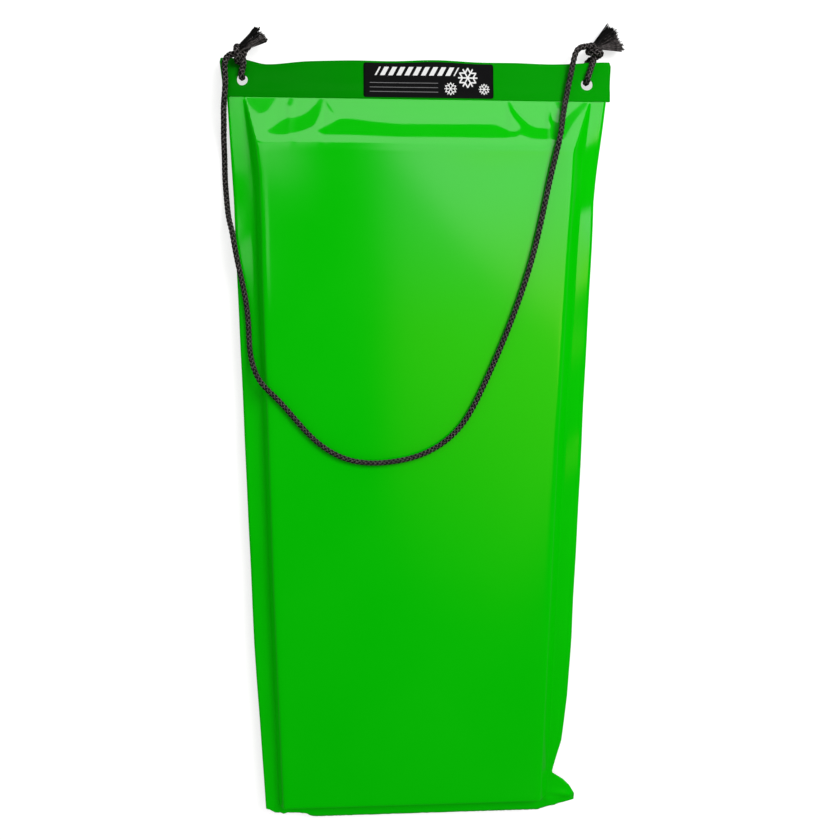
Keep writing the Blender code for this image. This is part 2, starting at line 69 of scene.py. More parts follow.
# Each panel: brightness, its edges across and along the sled as slopes from straight up, edge softness
HEADER_PANEL = (2.5, (-0.85, 0.95), (0.84, 1.32), (0.02, 0.015))
SIDE_PANEL = (1.35, (-0.56, -0.21), (0.108, 0.62), (0.03, 0.015))
SHOULDER_PANEL = (1.1, (-0.36, -0.200), (-0.03, 0.09), (0.03, 0.03))
CORNER_PANEL = (1.8, (-0.21, -0.120), (0.112, 0.86), (0.035, 0.030))
OVERHEAD_PANEL = (2.3, (0.0, 0.84), (-0.60, 0.84), (0.03, 0.03))
# The overhead panel is cut off along lines: direction across and along, how far, and softness
OVERHEAD_CUTS = ((0.582, 0.813, 0.075, 0.045), (0.838, 0.545, 0.092, 0.035))
OVERHEAD_LOWER_CUT = (-0.857, 0.516, -0.446, 0.06)
# Before the first cut a tail fades out: its length and strength, and where it starts across
OVERHEAD_FADE = (0.46, 0.34)
FADE_FROM = -0.14
FADE_TO = 0.05
# Colour of its warm part, and between which places along the sled it turns warm
WARM_LIGHT = (1.0, 0.90, 0.15, 1.0)
WARM_FROM = 0.14
WARM_TO = -0.12
# A narrow strip of the overhead panel that is warm too, given like a panel
WARM_STRIP = (0.8, (0.110, 0.240), (0.150, 0.178), (0.05, 0.012))
WHITE = (1.0, 1.0, 1.0, 1.0)


def socket(sockets, name):
    """The socket of that name that is in use: some nodes keep one for each data type."""
    return next(item for item in sockets if item.name == name and item.enabled)


class Value:
    """What comes out of a node. Reckoning with it adds Math nodes to its tree."""

    def __init__(self, tree, source):
        self.tree = tree
        self.source = source

    def math(self, operation, *others, clamp=False):
        """The result of a Math node with this value first."""
        inputs = dict(enumerate((self, *others)))
        return value_from(self.tree, "ShaderNodeMath", inputs, operation=operation, use_clamp=clamp)

    def vector_math(self, operation, other):
        """A scale takes its amount as the other value."""
        inputs = {0: self, "Scale" if operation == "SCALE" else 1: other}
        return value_from(self.tree, "ShaderNodeVectorMath", inputs, operation=operation)

    def __add__(self, other):
        return self.math("ADD", other)

    def __sub__(self, other):
        return self.math("SUBTRACT", other)

    def __mul__(self, other):
        return self.math("MULTIPLY", other)

    def __truediv__(self, other):
        return self.math("DIVIDE", other)

    def __pow__(self, other):
        return self.math("POWER", other)


def set_inputs(node, inputs):
    """Set or link a node's inputs by name or number."""
    for name, value in inputs.items():
        target = node.inputs[name] if isinstance(name, int) else socket(node.inputs, name)
        if isinstance(value, Value):
            value.tree.links.new(value.source, target)
        else:
            target.default_value = value


def add_node(tree, kind, inputs=None, **settings):
    """Add a node, set its properties, then its inputs."""
    node = tree.nodes.new(kind)
    for name, value in settings.items():
        setattr(node, name, value)
    set_inputs(node, inputs or {})
    return node


def value_from(tree, kind, inputs=None, **settings):
    """The first output in use of a new node."""
    node = add_node(tree, kind, inputs, **settings)
    return Value(tree, next(item for item in node.outputs if item.enabled))


def outputs_of(tree, kind, inputs=None, **settings):
    """The outputs of a new node by name."""
    return {item.name: Value(tree, item) for item in add_node(tree, kind, inputs, **settings).outputs}


def axes_of(vector):
    """The parts of a vector, called X, Y and Z."""
    return outputs_of(vector.tree, "ShaderNodeSeparateXYZ", {"Vector": vector})


def grey(value):
    """A vector or colour with the same value three times."""
    return value_from(value.tree, "ShaderNodeCombineXYZ", dict.fromkeys("XYZ", value))


def mix_colours(share, first, second):
    """The first colour where the share is nought, the second where it is one."""
    inputs = {"Factor": share, "A": first, "B": second}
    return value_from(share.tree, "ShaderNodeMix", inputs, data_type="RGBA")


def smooth_range(value, low, high):
    """Nought below low and one above high, with a smooth rise between."""
    inputs = {"Value": value, "From Min": low, "From Max": high}
    return value_from(value.tree, "ShaderNodeMapRange", inputs, interpolation_type="SMOOTHSTEP")


def within(value, edges, softness):
    """One between two edges and nought outside them, with soft edges."""
    low, high = edges
    rise = smooth_range(value, low - softness, low + softness)
    return rise * smooth_range(value, high + softness, high - softness)


def light_panel(across, along, panel):
    """Glow of one panel under the ceiling."""
    glow, across_edges, along_edges, softness = panel
    return within(across, across_edges, softness[0]) * within(along, along_edges, softness[1]) * glow


def beyond(across, along, cut):
    """One beyond a slanting line in the ceiling, nought before it; and the place measured square to it."""
    across_part, along_part, start, softness = cut
    place = across * across_part + along * along_part
    return smooth_range(place, start - softness, start + softness), place


def overhead_glow(across, along):
    """Glow of the overhead panel: bright beyond its cut lines, with a fading tail before the first."""
    first, place = beyond(across, along, OVERHEAD_CUTS[0])
    second, _ = beyond(across, along, OVERHEAD_CUTS[1])
    below, _ = beyond(across, along, OVERHEAD_LOWER_CUT)
    reach, strength = OVERHEAD_FADE
    start = OVERHEAD_CUTS[0][2]
    tail = smooth_range(place, start - reach, start) * strength * smooth_range(across, FADE_FROM, FADE_TO)
    return light_panel(across, along, OVERHEAD_PANEL) * below * (first * second).math("MAXIMUM", tail)


def background_rays(tree, mirrored_share):
    """One for camera rays, and a small share for mirrored and refracted ones."""
    path = outputs_of(tree, "ShaderNodeLightPath")
    bent = path["Is Glossy Ray"] + path["Is Transmission Ray"]
    return bent.math("MULTIPLY_ADD", mirrored_share, path["Is Camera Ray"], clamp=True)


def make_world():
    """White for the camera, the ceiling with its panels for mirrored rays, an even grey for lit surfaces."""
    world = bpy.data.worlds.new("studio")
    world.use_nodes = True
    bpy.context.scene.world = world
    tree = world.node_tree
    tree.nodes.clear()
    axes = axes_of(outputs_of(tree, "ShaderNodeTexCoord")["Generated"])
    rise = axes["Z"].math("MAXIMUM", LEAST_RISE)
    across, along = axes["X"] / rise, axes["Y"] / rise
    glow = CEILING_GLOW
    for panel in (HEADER_PANEL, SIDE_PANEL, SHOULDER_PANEL, CORNER_PANEL):
        glow = light_panel(across, along, panel) + glow
    warmth = smooth_range(along, WARM_FROM, WARM_TO).math("MAXIMUM", light_panel(across, along, WARM_STRIP))
    tint = mix_colours(warmth, WHITE, WARM_LIGHT)
    light = tint.vector_math("SCALE", overhead_glow(across, along)).vector_math("ADD", grey(glow))
    lit = outputs_of(tree, "ShaderNodeLightPath")["Is Diffuse Ray"]
    light = mix_colours(lit, light, (SKY_GLOW, SKY_GLOW, SKY_GLOW, 1.0))
    low_down = smooth_range(axes["Z"], BACKDROP_HIGH, BACKDROP_LOW)
    pale = low_down * background_rays(tree, MIRRORED_FLOOR_SHARE)
    pale = background_rays(tree, 0.0).math("MAXIMUM", pale)
    background = value_from(tree, "ShaderNodeBackground", {"Color": mix_colours(pale, light, WHITE)})
    add_node(tree, "ShaderNodeOutputWorld", {"Surface": background})


def link(item):
    """Put an object into the scene."""
    bpy.context.scene.collection.objects.link(item)
    return item


def make_camera():
    """A camera with the lens that was fitted to the photo."""
    data = bpy.data.cameras.new("camera")
    data.lens = CAMERA_LENS
    data.sensor_width = SENSOR_WIDTH
    camera = link(bpy.data.objects.new("camera", data))
    back = (CAMERA_PLACE - CAMERA_AIM).normalized()
    right = Vector((0.0, 1.0, 0.0)).cross(back).normalized()
    turn = Matrix((right, back.cross(right), back)).transposed().to_4x4()
    camera.matrix_world = Matrix.Translation(CAMERA_PLACE) @ turn @ Matrix.Rotation(CAMERA_ROLL, 4, "Z")
    bpy.context.scene.camera = camera


def make_lamp():
    """The soft lamp, which lights the sled and isn't mirrored in it."""
    data = bpy.data.lights.new("soft_lamp", "AREA")
    data.shape = "SQUARE"
    data.size = LAMP_SIZE
    data.energy = LAMP_POWER
    lamp = link(bpy.data.objects.new("soft_lamp", data))
    lamp.location = LAMP_PLACE
    lamp.rotation_euler = (LAMP_PLACE - LAMP_AIM).to_track_quat("Z", "Y").to_euler()
    lamp.visible_glossy = False


def make_floor():
    """A white floor that keeps the sled's shadow and is dim where the film mirrors it."""
    mesh = bmesh.new()
    bmesh.ops.create_grid(mesh, x_segments=1, y_segments=1, size=FLOOR_SIZE / 2)
    data = bpy.data.meshes.new("floor")
    mesh.to_mesh(data)
    mesh.free()
    floor = link(bpy.data.objects.new("floor", data))
    floor.location.z = -FLOOR_DROP
    paint = bpy.data.materials.new("floor_paint")
    paint.use_nodes = True
    tree = paint.node_tree
    tree.nodes.clear()
    mirrored = outputs_of(tree, "ShaderNodeLightPath")["Is Glossy Ray"]
    shade = mirrored * (FLOOR_PAINT * (FLOOR_IN_FILM - 1.0)) + FLOOR_PAINT
    diffuse = value_from(tree, "ShaderNodeBsdfDiffuse", {"Color": grey(shade)})
    strength = background_rays(tree, MIRRORED_FLOOR_SHARE) * FLOOR_GLOW
    shine = value_from(tree, "ShaderNodeEmission", {"Strength": strength})
    both = value_from(tree, "ShaderNodeAddShader", {0: diffuse, 1: shine})
    add_node(tree, "ShaderNodeOutputMaterial", {"Surface": both})
    data.materials.append(paint)


bpy.context.scene.view_settings.view_transform = "Standard"
make_camera()
make_world()
make_lamp()
make_floor()

# Tow rope: one 8 mm rope of eight flat polypropylene strands, braided round each other. It runs from
# the left knot along the ground, up over the flange and in a bow across the top to the right knot.
ROPE_DIAMETER = 0.008
ROPE_PITCH = 0.025
KNOT_ROPE_DIAMETER = 0.0086
KNOT_ROPE_PITCH = 0.021
STRANDS_EACH_WAY = 4
STRAND_SPACING = 0.0010
# A strand's width and thickness, how far it weaves in and out, and the core, for a rope 1 wide
STRAND_WIDTH_SHARE = 0.33
STRAND_THICKNESS_SHARE = 0.23
STRAND_WEAVE_SHARE = 0.065
CORE_SHARE = 0.50
STRAND_SIDES = 8
CORE_SIDES = 8
ROUTE_STEPS = 12

# Centrelines of the free rope and of its two tied ends, each from the free rope's side onward
ROPE_ROUTE = (
    (-0.2252, 0.5520, 0.0262), (-0.2270, 0.55192, 0.02622), (-0.2322, 0.5508, 0.0262),
    (-0.2366, 0.5474, 0.0260), (-0.2390, 0.5424, 0.0257), (-0.2394, 0.5300, 0.0263),
    (-0.2392, 0.5160, 0.0292), (-0.2402, 0.5030, 0.0316), (-0.2426, 0.4880, 0.0286),
    (-0.2448, 0.4730, 0.0212), (-0.2473, 0.4560, 0.0130), (-0.2490, 0.4320, 0.0059),
    (-0.2499, 0.4060, 0.0045), (-0.2489, 0.3780, 0.0056), (-0.2452, 0.3540, 0.0156),
    (-0.2402, 0.3385, 0.0263), (-0.2373, 0.3230, 0.0301), (-0.2336, 0.2979, 0.0303),
    (-0.2270, 0.2600, 0.0298), (-0.2234, 0.2150, 0.0297), (-0.2223, 0.1800, 0.0316),
    (-0.2165, 0.1585, 0.0402), (-0.2050, 0.1400, 0.0515), (-0.1890, 0.1235, 0.0538),
    (-0.1310, 0.0580, 0.0541), (-0.0920, 0.0357, 0.0543), (-0.0360, 0.0320, 0.0546),
    (0.0140, 0.0450, 0.0546), (0.0560, 0.0760, 0.0545), (0.0885, 0.1320, 0.0543),
    (0.1250, 0.2220, 0.0539), (0.1540, 0.3190, 0.0536), (0.1735, 0.4200, 0.0536),
    (0.1800, 0.4500, 0.0528), (0.1837, 0.4680, 0.0479), (0.1872, 0.4870, 0.0388),
    (0.1916, 0.5060, 0.0314), (0.1954, 0.5243, 0.0270), (0.1988, 0.5400, 0.0243),
    (0.2024, 0.5580, 0.0230), (0.2051, 0.5641, 0.0222), (0.2098, 0.5678, 0.0217),
    (0.2154, 0.56892, 0.02152), (0.2172, 0.5690, 0.0215),
)
LEFT_KNOT_ROUTE = (
    (-0.2249, 0.5520, 0.0262), (-0.2233, 0.55201, 0.02627), (-0.2200, 0.5511, 0.0276),
    (-0.2172, 0.5488, 0.0284), (-0.2160, 0.5450, 0.0278), (-0.2165, 0.5400, 0.0258),
    (-0.2180, 0.5353, 0.0243), (-0.2193, 0.5314, 0.0239), (-0.2200, 0.5280, 0.0226),
    (-0.2200, 0.5266, 0.0190), (-0.2200, 0.5280, 0.0154), (-0.2201, 0.5314, 0.0140),
    (-0.2204, 0.5360, 0.0124), (-0.2209, 0.5410, 0.0108), (-0.2216, 0.5460, 0.0094),
    (-0.2222, 0.5515, 0.0088), (-0.2226, 0.5568, 0.0104), (-0.2229, 0.5602, 0.0150),
    (-0.2230, 0.5610, 0.0215), (-0.2230, 0.5590, 0.0288), (-0.2226, 0.5540, 0.0340),
    (-0.2220, 0.5488, 0.0340), (-0.2232, 0.5440, 0.0290), (-0.2218, 0.5442, 0.0228),
    (-0.2190, 0.5478, 0.0206), (-0.2168, 0.5528, 0.0204), (-0.2150, 0.5580, 0.0190),
    (-0.2128, 0.5620, 0.0158), (-0.2098, 0.5643, 0.0147),
)
RIGHT_KNOT_ROUTE = (
    (0.2175, 0.5690, 0.0215), (0.2192, 0.56912, 0.02153), (0.2230, 0.5698, 0.0220),
    (0.2262, 0.5691, 0.0213), (0.2290, 0.5669, 0.0193), (0.2301, 0.5632, 0.0173),
    (0.2299, 0.5595, 0.0170), (0.2284, 0.5545, 0.0183), (0.2262, 0.5490, 0.0200),
    (0.2236, 0.5410, 0.0217), (0.2214, 0.5354, 0.0234), (0.2203, 0.5314, 0.0240),
    (0.2200, 0.5280, 0.0226), (0.2200, 0.5266, 0.0190), (0.2200, 0.5280, 0.0154),
    (0.2200, 0.5314, 0.0140), (0.2202, 0.5356, 0.0124), (0.2204, 0.5415, 0.0098),
    (0.2212, 0.5490, 0.0066), (0.2246, 0.5550, 0.0041), (0.2304, 0.5590, 0.0040),
    (0.2352, 0.5608, 0.0080), (0.2372, 0.5614, 0.0147), (0.2354, 0.5617, 0.0214),
    (0.2298, 0.5620, 0.0246), (0.2242, 0.5620, 0.0222), (0.2218, 0.5640, 0.0160),
    (0.2230, 0.5666, 0.0102), (0.2258, 0.5690, 0.0074), (0.2295, 0.5708, 0.0068),
    (0.2335, 0.5724, 0.0068),
)

ROPE_COLOUR = (0.0015, 0.0014, 0.0016, 1.0)
# Painted highlight on the outward faces of the strands
ROPE_HIGHLIGHT_COLOUR = (0.25, 0.22, 0.22, 1.0)
ROPE_ROUGHNESS = 0.45
ROPE_GLOSS = 0.22
FIBRES_ACROSS = 22.0
FIBRES_ALONG = 260.0
FIBRE_STREAKS = 0.4
FIBRE_DEPTH = 0.0004
# Painted highlight: pale where a strand faces outward and where the noise of its fibres is high
HIGHLIGHT_OUTWARD = (0.45, 1.0)
HIGHLIGHT_STREAKS = (0.32, 0.72)


def smooth_route(points):
    """Points along the natural cubic curve through a route."""
    route = np.array(points)
    steps = np.linalg.norm(np.diff(route, axis=0), axis=1)
    places = np.concatenate([[0.0], np.cumsum(steps)])
    system = np.eye(len(route))
    turns = np.zeros_like(route)
    for index in range(1, len(route) - 1):
        before, after = steps[index - 1], steps[index]
        system[index, index - 1:index + 2] = (before, 2 * (before + after), after)
        slope_in = (route[index] - route[index - 1]) / before
        slope_out = (route[index + 1] - route[index]) / after
        turns[index] = 6 * (slope_out - slope_in)
    curving = np.linalg.solve(system, turns)
    at = np.linspace(0.0, places[-1], ROUTE_STEPS * len(route))
    index = np.clip(np.searchsorted(places, at, side="right") - 1, 0, len(steps) - 1)
    step = steps[index][:, None]
    left = (places[index + 1] - at)[:, None]
    right = (at - places[index])[:, None]
    fine = (curving[index] * left ** 3 + curving[index + 1] * right ** 3) / (6 * step)
    fine += (route[index] / step - curving[index] * step / 6) * left
    fine += (route[index + 1] / step - curving[index + 1] * step / 6) * right
    return fine


def new_geometry_tree(name, inputs):
    """A Geometry Nodes tree with its named inputs: name to (socket type, value)."""
    tree = bpy.data.node_groups.new(name, "GeometryNodeTree")
    tree.interface.new_socket("Geometry", in_out="INPUT", socket_type="NodeSocketGeometry")
    for label, (kind, value) in inputs.items():
        item = tree.interface.new_socket(label, in_out="INPUT", socket_type=kind)
        if value is not None:
            item.default_value = value
    tree.interface.new_socket("Geometry", in_out="OUTPUT", socket_type="NodeSocketGeometry")
    return tree, outputs_of(tree, "NodeGroupInput")


def finish_tree(geometry, material):
    """Give the tree's result its material, as one real mesh."""
    tree = geometry.tree
    real = value_from(tree, "GeometryNodeRealizeInstances", {"Geometry": geometry})
    painted = value_from(tree, "GeometryNodeSetMaterial", {"Geometry": real, "Material": material})
    add_node(tree, "NodeGroupOutput", {0: painted})
    return tree


def kept_on(geometry, kind, label, value):
    """The outputs of a node that keeps a value on a geometry under a label."""
    node = geometry.tree.nodes.new("GeometryNodeCaptureAttribute")
    node.capture_items.new(kind, label)
    set_inputs(node, {"Geometry": geometry, label: value})
    return {item.name: Value(geometry.tree, item) for item in node.outputs}


def tube_with_map(path, profile):
    """Sweep a profile along curves, and keep the place along and around them as a UV map."""
    tree = path.tree
    places = outputs_of(tree, "GeometryNodeSplineParameter")
    along = kept_on(path, "FLOAT", "along", places["Length"])
    around = kept_on(profile, "FLOAT", "around", places["Factor"])
    curves = {"Curve": along["Geometry"], "Profile Curve": around["Geometry"], "Fill Caps": True}
    sweep = value_from(tree, "GeometryNodeCurveToMesh", curves)
    pair = value_from(tree, "ShaderNodeCombineXYZ", {"X": along["along"], "Y": around["around"]})
    stored = {"Geometry": sweep, "Name": "UVMap", "Value": pair}
    return value_from(tree, "GeometryNodeStoreNamedAttribute", stored, data_type="FLOAT2", domain="CORNER")


def circle(tree, sides, radius):
    """A round profile with that many sides."""
    inputs = {"Resolution": sides, "Radius": radius}
    return value_from(tree, "GeometryNodeCurvePrimitiveCircle", inputs)


def braided_rope_tree():
    """Strands wound both ways round the route, each passing over and under the others in turn."""
    inputs = {
        "Diameter": ("NodeSocketFloat", ROPE_DIAMETER),
        "Pitch": ("NodeSocketFloat", ROPE_PITCH),
        "Strands Each Way": ("NodeSocketInt", STRANDS_EACH_WAY),
        "Spacing": ("NodeSocketFloat", STRAND_SPACING),
        "Material": ("NodeSocketMaterial", None),
    }
    tree, given = new_geometry_tree("braided rope", inputs)
    each_way, diameter = given["Strands Each Way"], given["Diameter"]
    curve = {"Curve": given["Geometry"], "Length": given["Spacing"]}
    path = value_from(tree, "GeometryNodeResampleCurve", curve, mode="LENGTH")
    copies = {"Geometry": path, "Amount": each_way * 2.0}
    strands = outputs_of(tree, "GeometryNodeDuplicateElements", copies, domain="SPLINE")
    number = strands["Duplicate Index"]
    way = number.math("GREATER_THAN", each_way - 0.5) * -2.0 + 1.0
    turns = outputs_of(tree, "GeometryNodeSplineParameter")["Length"] / given["Pitch"]
    angle = (turns * way + number / each_way) * (2 * math.pi)
    swing = (turns * each_way * (2 * math.pi)).math("COSINE") * way
    middle = 0.5 - STRAND_THICKNESS_SHARE / 2 - STRAND_WEAVE_SHARE
    reach = (swing * STRAND_WEAVE_SHARE + middle) * diameter
    normal = outputs_of(tree, "GeometryNodeInputNormal")["Normal"]
    side = value_from(tree, "GeometryNodeInputTangent").vector_math("CROSS_PRODUCT", normal)
    normal_part = normal.vector_math("SCALE", angle.math("COSINE"))
    outward = normal_part.vector_math("ADD", side.vector_math("SCALE", angle.math("SINE")))
    kept = kept_on(strands["Geometry"], "VECTOR", "outward", outward)
    moved = {"Geometry": kept["Geometry"], "Offset": outward.vector_math("SCALE", reach)}
    wound = value_from(tree, "GeometryNodeSetPosition", moved)
    facing = {"Curve": wound, "Normal": kept["outward"]}
    faced = value_from(tree, "GeometryNodeSetCurveNormal", facing, mode="FREE")
    flat = {"X": diameter * STRAND_THICKNESS_SHARE, "Y": diameter * STRAND_WIDTH_SHARE, "Z": 1.0}
    flat = value_from(tree, "ShaderNodeCombineXYZ", flat)
    profile = {"Geometry": circle(tree, STRAND_SIDES, 0.5), "Scale": flat}
    profile = value_from(tree, "GeometryNodeTransform", profile)
    core = circle(tree, CORE_SIDES, diameter * (CORE_SHARE / 2))
    joined = add_node(tree, "GeometryNodeJoinGeometry")
    for tube in (tube_with_map(path, core), tube_with_map(faced, profile)):
        tree.links.new(tube.source, joined.inputs[0])
    return finish_tree(Value(tree, joined.outputs[0]), given["Material"])


def grow_mesh(name, seed, tree, values):
    """Run a Geometry Nodes tree on an object and keep the result as a plain mesh object."""
    modifier = seed.modifiers.new(tree.name, "NODES")
    modifier.node_group = tree
    for item in tree.interface.items_tree:
        if item.in_out == "INPUT" and item.name in values:
            modifier[item.identifier] = values[item.name]
    bpy.context.view_layer.update()
    evaluated = seed.evaluated_get(bpy.context.evaluated_depsgraph_get())
    mesh = bpy.data.meshes.new_from_object(evaluated)
    mesh.name = name
    seed.modifiers.remove(modifier)
    bpy.data.objects.remove(seed, do_unlink=True)
    return link(bpy.data.objects.new(name, mesh))


def new_material(name):
    """A material with its node tree and its main shader."""
    material = bpy.data.materials.new(name)
    material.use_nodes = True
    tree = material.node_tree
    return material, tree, tree.nodes["Principled BSDF"]


def relief(height, strength, depth):
    """A shading normal from a height."""
    inputs = {"Height": height, "Strength": strength, "Distance": depth}
    return value_from(height.tree, "ShaderNodeBump", inputs)


def noise(place, scale, detail):
    """A noise texture read at a place."""
    inputs = {"Vector": place, "Scale": scale, "Detail": detail}
    return value_from(place.tree, "ShaderNodeTexNoise", inputs)


def make_rope_material():
    """Dark polypropylene: filaments run along each strand, with a painted highlight where they stand out, and
    dark between them.
    """
    material, tree, shader = new_material("braided_rope")
    place = value_from(tree, "ShaderNodeUVMap", uv_map="UVMap")
    stretch = {"Vector": place, "Scale": (FIBRES_ALONG, FIBRES_ACROSS, 1.0)}
    streaks = noise(value_from(tree, "ShaderNodeMapping", stretch), 1.0, 2.0)
    outward = (axes_of(place)["Y"] * (2 * math.pi)).math("COSINE")
    # Painted highlight: pale on outward faces, where the fibre noise is high
    painted_highlight = smooth_range(outward, *HIGHLIGHT_OUTWARD) * smooth_range(streaks, *HIGHLIGHT_STREAKS)
    set_inputs(shader, {
        "Base Color": mix_colours(painted_highlight, ROPE_COLOUR, ROPE_HIGHLIGHT_COLOUR),
        "Normal": relief(streaks, FIBRE_STREAKS, FIBRE_DEPTH),
        "Roughness": ROPE_ROUGHNESS,
        "Specular IOR Level": ROPE_GLOSS,
    })
    return material


def route_object(name, points):
    """A curve object through these points, on which a mesh is grown."""
    data = bpy.data.curves.new(name, "CURVE")
    data.dimensions = "3D"
    spline = data.splines.new("POLY")
    spline.points.add(len(points) - 1)
    for point, place in zip(spline.points, points):
        point.co = (*place, 1.0)
    return link(bpy.data.objects.new(name, data))


rope_material = make_rope_material()
rope_tree = braided_rope_tree()


def make_braided_rope(name, route, diameter, pitch):
    """A braided rope along a route, and its smooth centreline."""
    points = smooth_route(route)
    values = {"Diameter": diameter, "Pitch": pitch, "Material": rope_material}
    return grow_mesh(name, route_object(name + "_route", points), rope_tree, values), points


tow_rope, rope_points = make_braided_rope("braided_tow_rope", ROPE_ROUTE, ROPE_DIAMETER, ROPE_PITCH)
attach(tow_rope, "tow_rope")
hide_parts("tow_rope")

# Knots: at each end the same rope, drawn a little thicker, goes down through the tow hole, back
# under the header and once round itself.
left_knot, _ = make_braided_rope("left_knot", LEFT_KNOT_ROUTE, KNOT_ROPE_DIAMETER, KNOT_ROPE_PITCH)
right_knot, _ = make_braided_rope("right_knot", RIGHT_KNOT_ROUTE, KNOT_ROPE_DIAMETER, KNOT_ROPE_PITCH)
for knot, node in ((left_knot, "left_hitch"), (right_knot, "right_hitch")):
    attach(knot, "sled")
    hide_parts(node)

# Frayed ends: past each knot the strands are cut and let go, and their filaments spread in a flat
# tuft, narrow on the left and widely fanned on the right.
FIBRE_WIDTH = 0.0007
FIBRE_SIDES = 3
FIBRE_POINTS = 9
FIBRES_PER_STRAND = 24
LEFT_TUFT = {"Length": 0.040, "Width": 0.027, "Depth": 0.014, "Strands": 18, "Seed": 3}
LEFT_TUFT_ROOT = Vector((-0.2220, 0.5565, 0.0270))
LEFT_TUFT_HEADING = Vector((0.79, 0.60, -0.22))
RIGHT_TUFT = {"Length": 0.039, "Width": 0.054, "Depth": 0.014, "Strands": 20, "Seed": 8}
RIGHT_TUFT_ROOT = Vector((0.2265, 0.5700, 0.0140))
RIGHT_TUFT_HEADING = Vector((0.86, 0.50, -0.08))
# How the fan opens, how wide the strands start, and how far loose fibres start from their strand
SPREAD_POWER = 1.05
ROOT_SHARE = 0.30
LOOSE_REACH = 0.0012
# Random ranges for each strand, and on top of that for each fibre, as shares of the tuft's size
STRAY_ACROSS = ((-0.40, 0.40), (-0.07, 0.07))
STRAY_THROUGH = ((-0.32, 0.32), (-0.16, 0.16))
STRAY_LENGTH = ((0.78, 0.96), (-0.05, 0.04))


def random_between(low, high, number, seed, salt):
    """A random number for each duplicate."""
    inputs = {"Min": low, "Max": high, "ID": number, "Seed": seed + salt}
    return value_from(seed.tree, "FunctionNodeRandomValue", inputs, data_type="FLOAT")


def tuft_tree():
    """Filaments that leave the rope's end in strands and fan out flat; +Z runs along the tuft."""
    inputs = {
        "Length": ("NodeSocketFloat", 0.040),
        "Width": ("NodeSocketFloat", 0.030),
        "Depth": ("NodeSocketFloat", 0.014),
        "Root Diameter": ("NodeSocketFloat", KNOT_ROPE_DIAMETER),
        "Strands": ("NodeSocketInt", 18),
        "Fibres Per Strand": ("NodeSocketInt", FIBRES_PER_STRAND),
        "Seed": ("NodeSocketInt", 1),
        "Material": ("NodeSocketMaterial", None),
    }
    tree, given = new_geometry_tree("frayed rope end", inputs)
    strands, seed = given["Strands"], given["Seed"]
    line = {"Start": (0.0, 0.0, 0.0), "End": (0.0, 0.0, 1.0)}
    line = value_from(tree, "GeometryNodeCurvePrimitiveLine", line)
    path = value_from(tree, "GeometryNodeResampleCurve", {"Curve": line, "Count": FIBRE_POINTS})
    copies = {"Geometry": path, "Amount": strands * given["Fibres Per Strand"]}
    fibres = outputs_of(tree, "GeometryNodeDuplicateElements", copies, domain="SPLINE")
    number = fibres["Duplicate Index"]
    strand = number.math("FLOORED_MODULO", strands)
    at = outputs_of(tree, "GeometryNodeSplineParameter")["Factor"]
    spread = at ** SPREAD_POWER
    root = spread * -1.0 + 1.0
    strand_angle = strand / strands * (2 * math.pi)
    root_reach = given["Root Diameter"] * ROOT_SHARE
    loose_reach = random_between(0.0, 1.0, number, seed, 11) ** 0.5 * LOOSE_REACH
    loose_angle = random_between(0.0, 1.0, number, seed, 12) * (2 * math.pi)

    def strayed(ranges, size, salt):
        for_strand = random_between(*ranges[0], strand, seed, salt)
        return (for_strand + random_between(*ranges[1], number, seed, salt + 1)) * size

    def placed(fan, turn):
        start = strand_angle.math(turn) * root_reach + loose_angle.math(turn) * loose_reach
        return start * root + fan * spread

    place = {
        "X": placed(strayed(STRAY_ACROSS, given["Width"], 21), "COSINE"),
        "Y": placed(strayed(STRAY_THROUGH, given["Depth"], 23), "SINE"),
        "Z": at * strayed(STRAY_LENGTH, given["Length"], 31),
    }
    bent = {"Geometry": fibres["Geometry"], "Position": value_from(tree, "ShaderNodeCombineXYZ", place)}
    bent = value_from(tree, "GeometryNodeSetPosition", bent)
    return finish_tree(tube_with_map(bent, circle(tree, FIBRE_SIDES, FIBRE_WIDTH / 2)), given["Material"])


def make_tuft(name, root, heading, values):
    """Grow the filaments upright, then turn and carry them to where the rope's end opens."""
    seed = link(bpy.data.objects.new(name + "_seed", bpy.data.meshes.new(name + "_seed")))
    tuft = grow_mesh(name, seed, fray_tree, {**values, "Material": rope_material})
    side = Vector((0.0, 0.0, 1.0)).cross(heading).normalized()
    up = heading.normalized()
    turn = Matrix((side, up.cross(side), up)).transposed().to_4x4()
    tuft.data.transform(Matrix.Translation(root) @ turn)
    return tuft


fray_tree = tuft_tree()
left_tuft = make_tuft("left_tuft", LEFT_TUFT_ROOT, LEFT_TUFT_HEADING, LEFT_TUFT)
right_tuft = make_tuft("right_tuft", RIGHT_TUFT_ROOT, RIGHT_TUFT_HEADING, RIGHT_TUFT)
for tuft, node in ((left_tuft, "left_frayed_end"), (right_tuft, "right_frayed_end")):
    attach(tuft, "sled")
    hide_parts(node)

# Top film: 0.6 mm glossy PVC, drawn over the slab and welded to the bottom film along a line inside
# its loose edge. Spare film gathers in folds between the slab's corners and the header.
LENGTH = 1.100
THICKNESS = 0.050
WELD_HEIGHT = 0.025
FILM = 0.0006
CLEARANCE = 0.0003
FILM_OFFSET = (CLEARANCE + FILM) / 2
HEADER_DEPTH = 0.0475
HEADER_OVERLAP = 0.010
HEADER_FALL = 0.010
HEADER_EDGE = LENGTH / 2
HEADER_LINE = HEADER_EDGE - HEADER_DEPTH
FILM_END = HEADER_LINE + HEADER_OVERLAP
WELD_X = 0.2155
SIDE_FLANGE = 0.021
FOOT_FLANGE = 0.022
FOOT_EDGE = -LENGTH / 2
FOOT_WELD = FOOT_EDGE + FOOT_FLANGE
CROWN = 0.0015
SIDE_FLANGE_FALL = 0.002
FOOT_FLANGE_FALL = 0.003
TOP_RISE = THICKNESS - WELD_HEIGHT - FILM_OFFSET - FILM / 2 - CROWN
BOTTOM_DROP = WELD_HEIGHT - FILM_OFFSET - FILM / 2

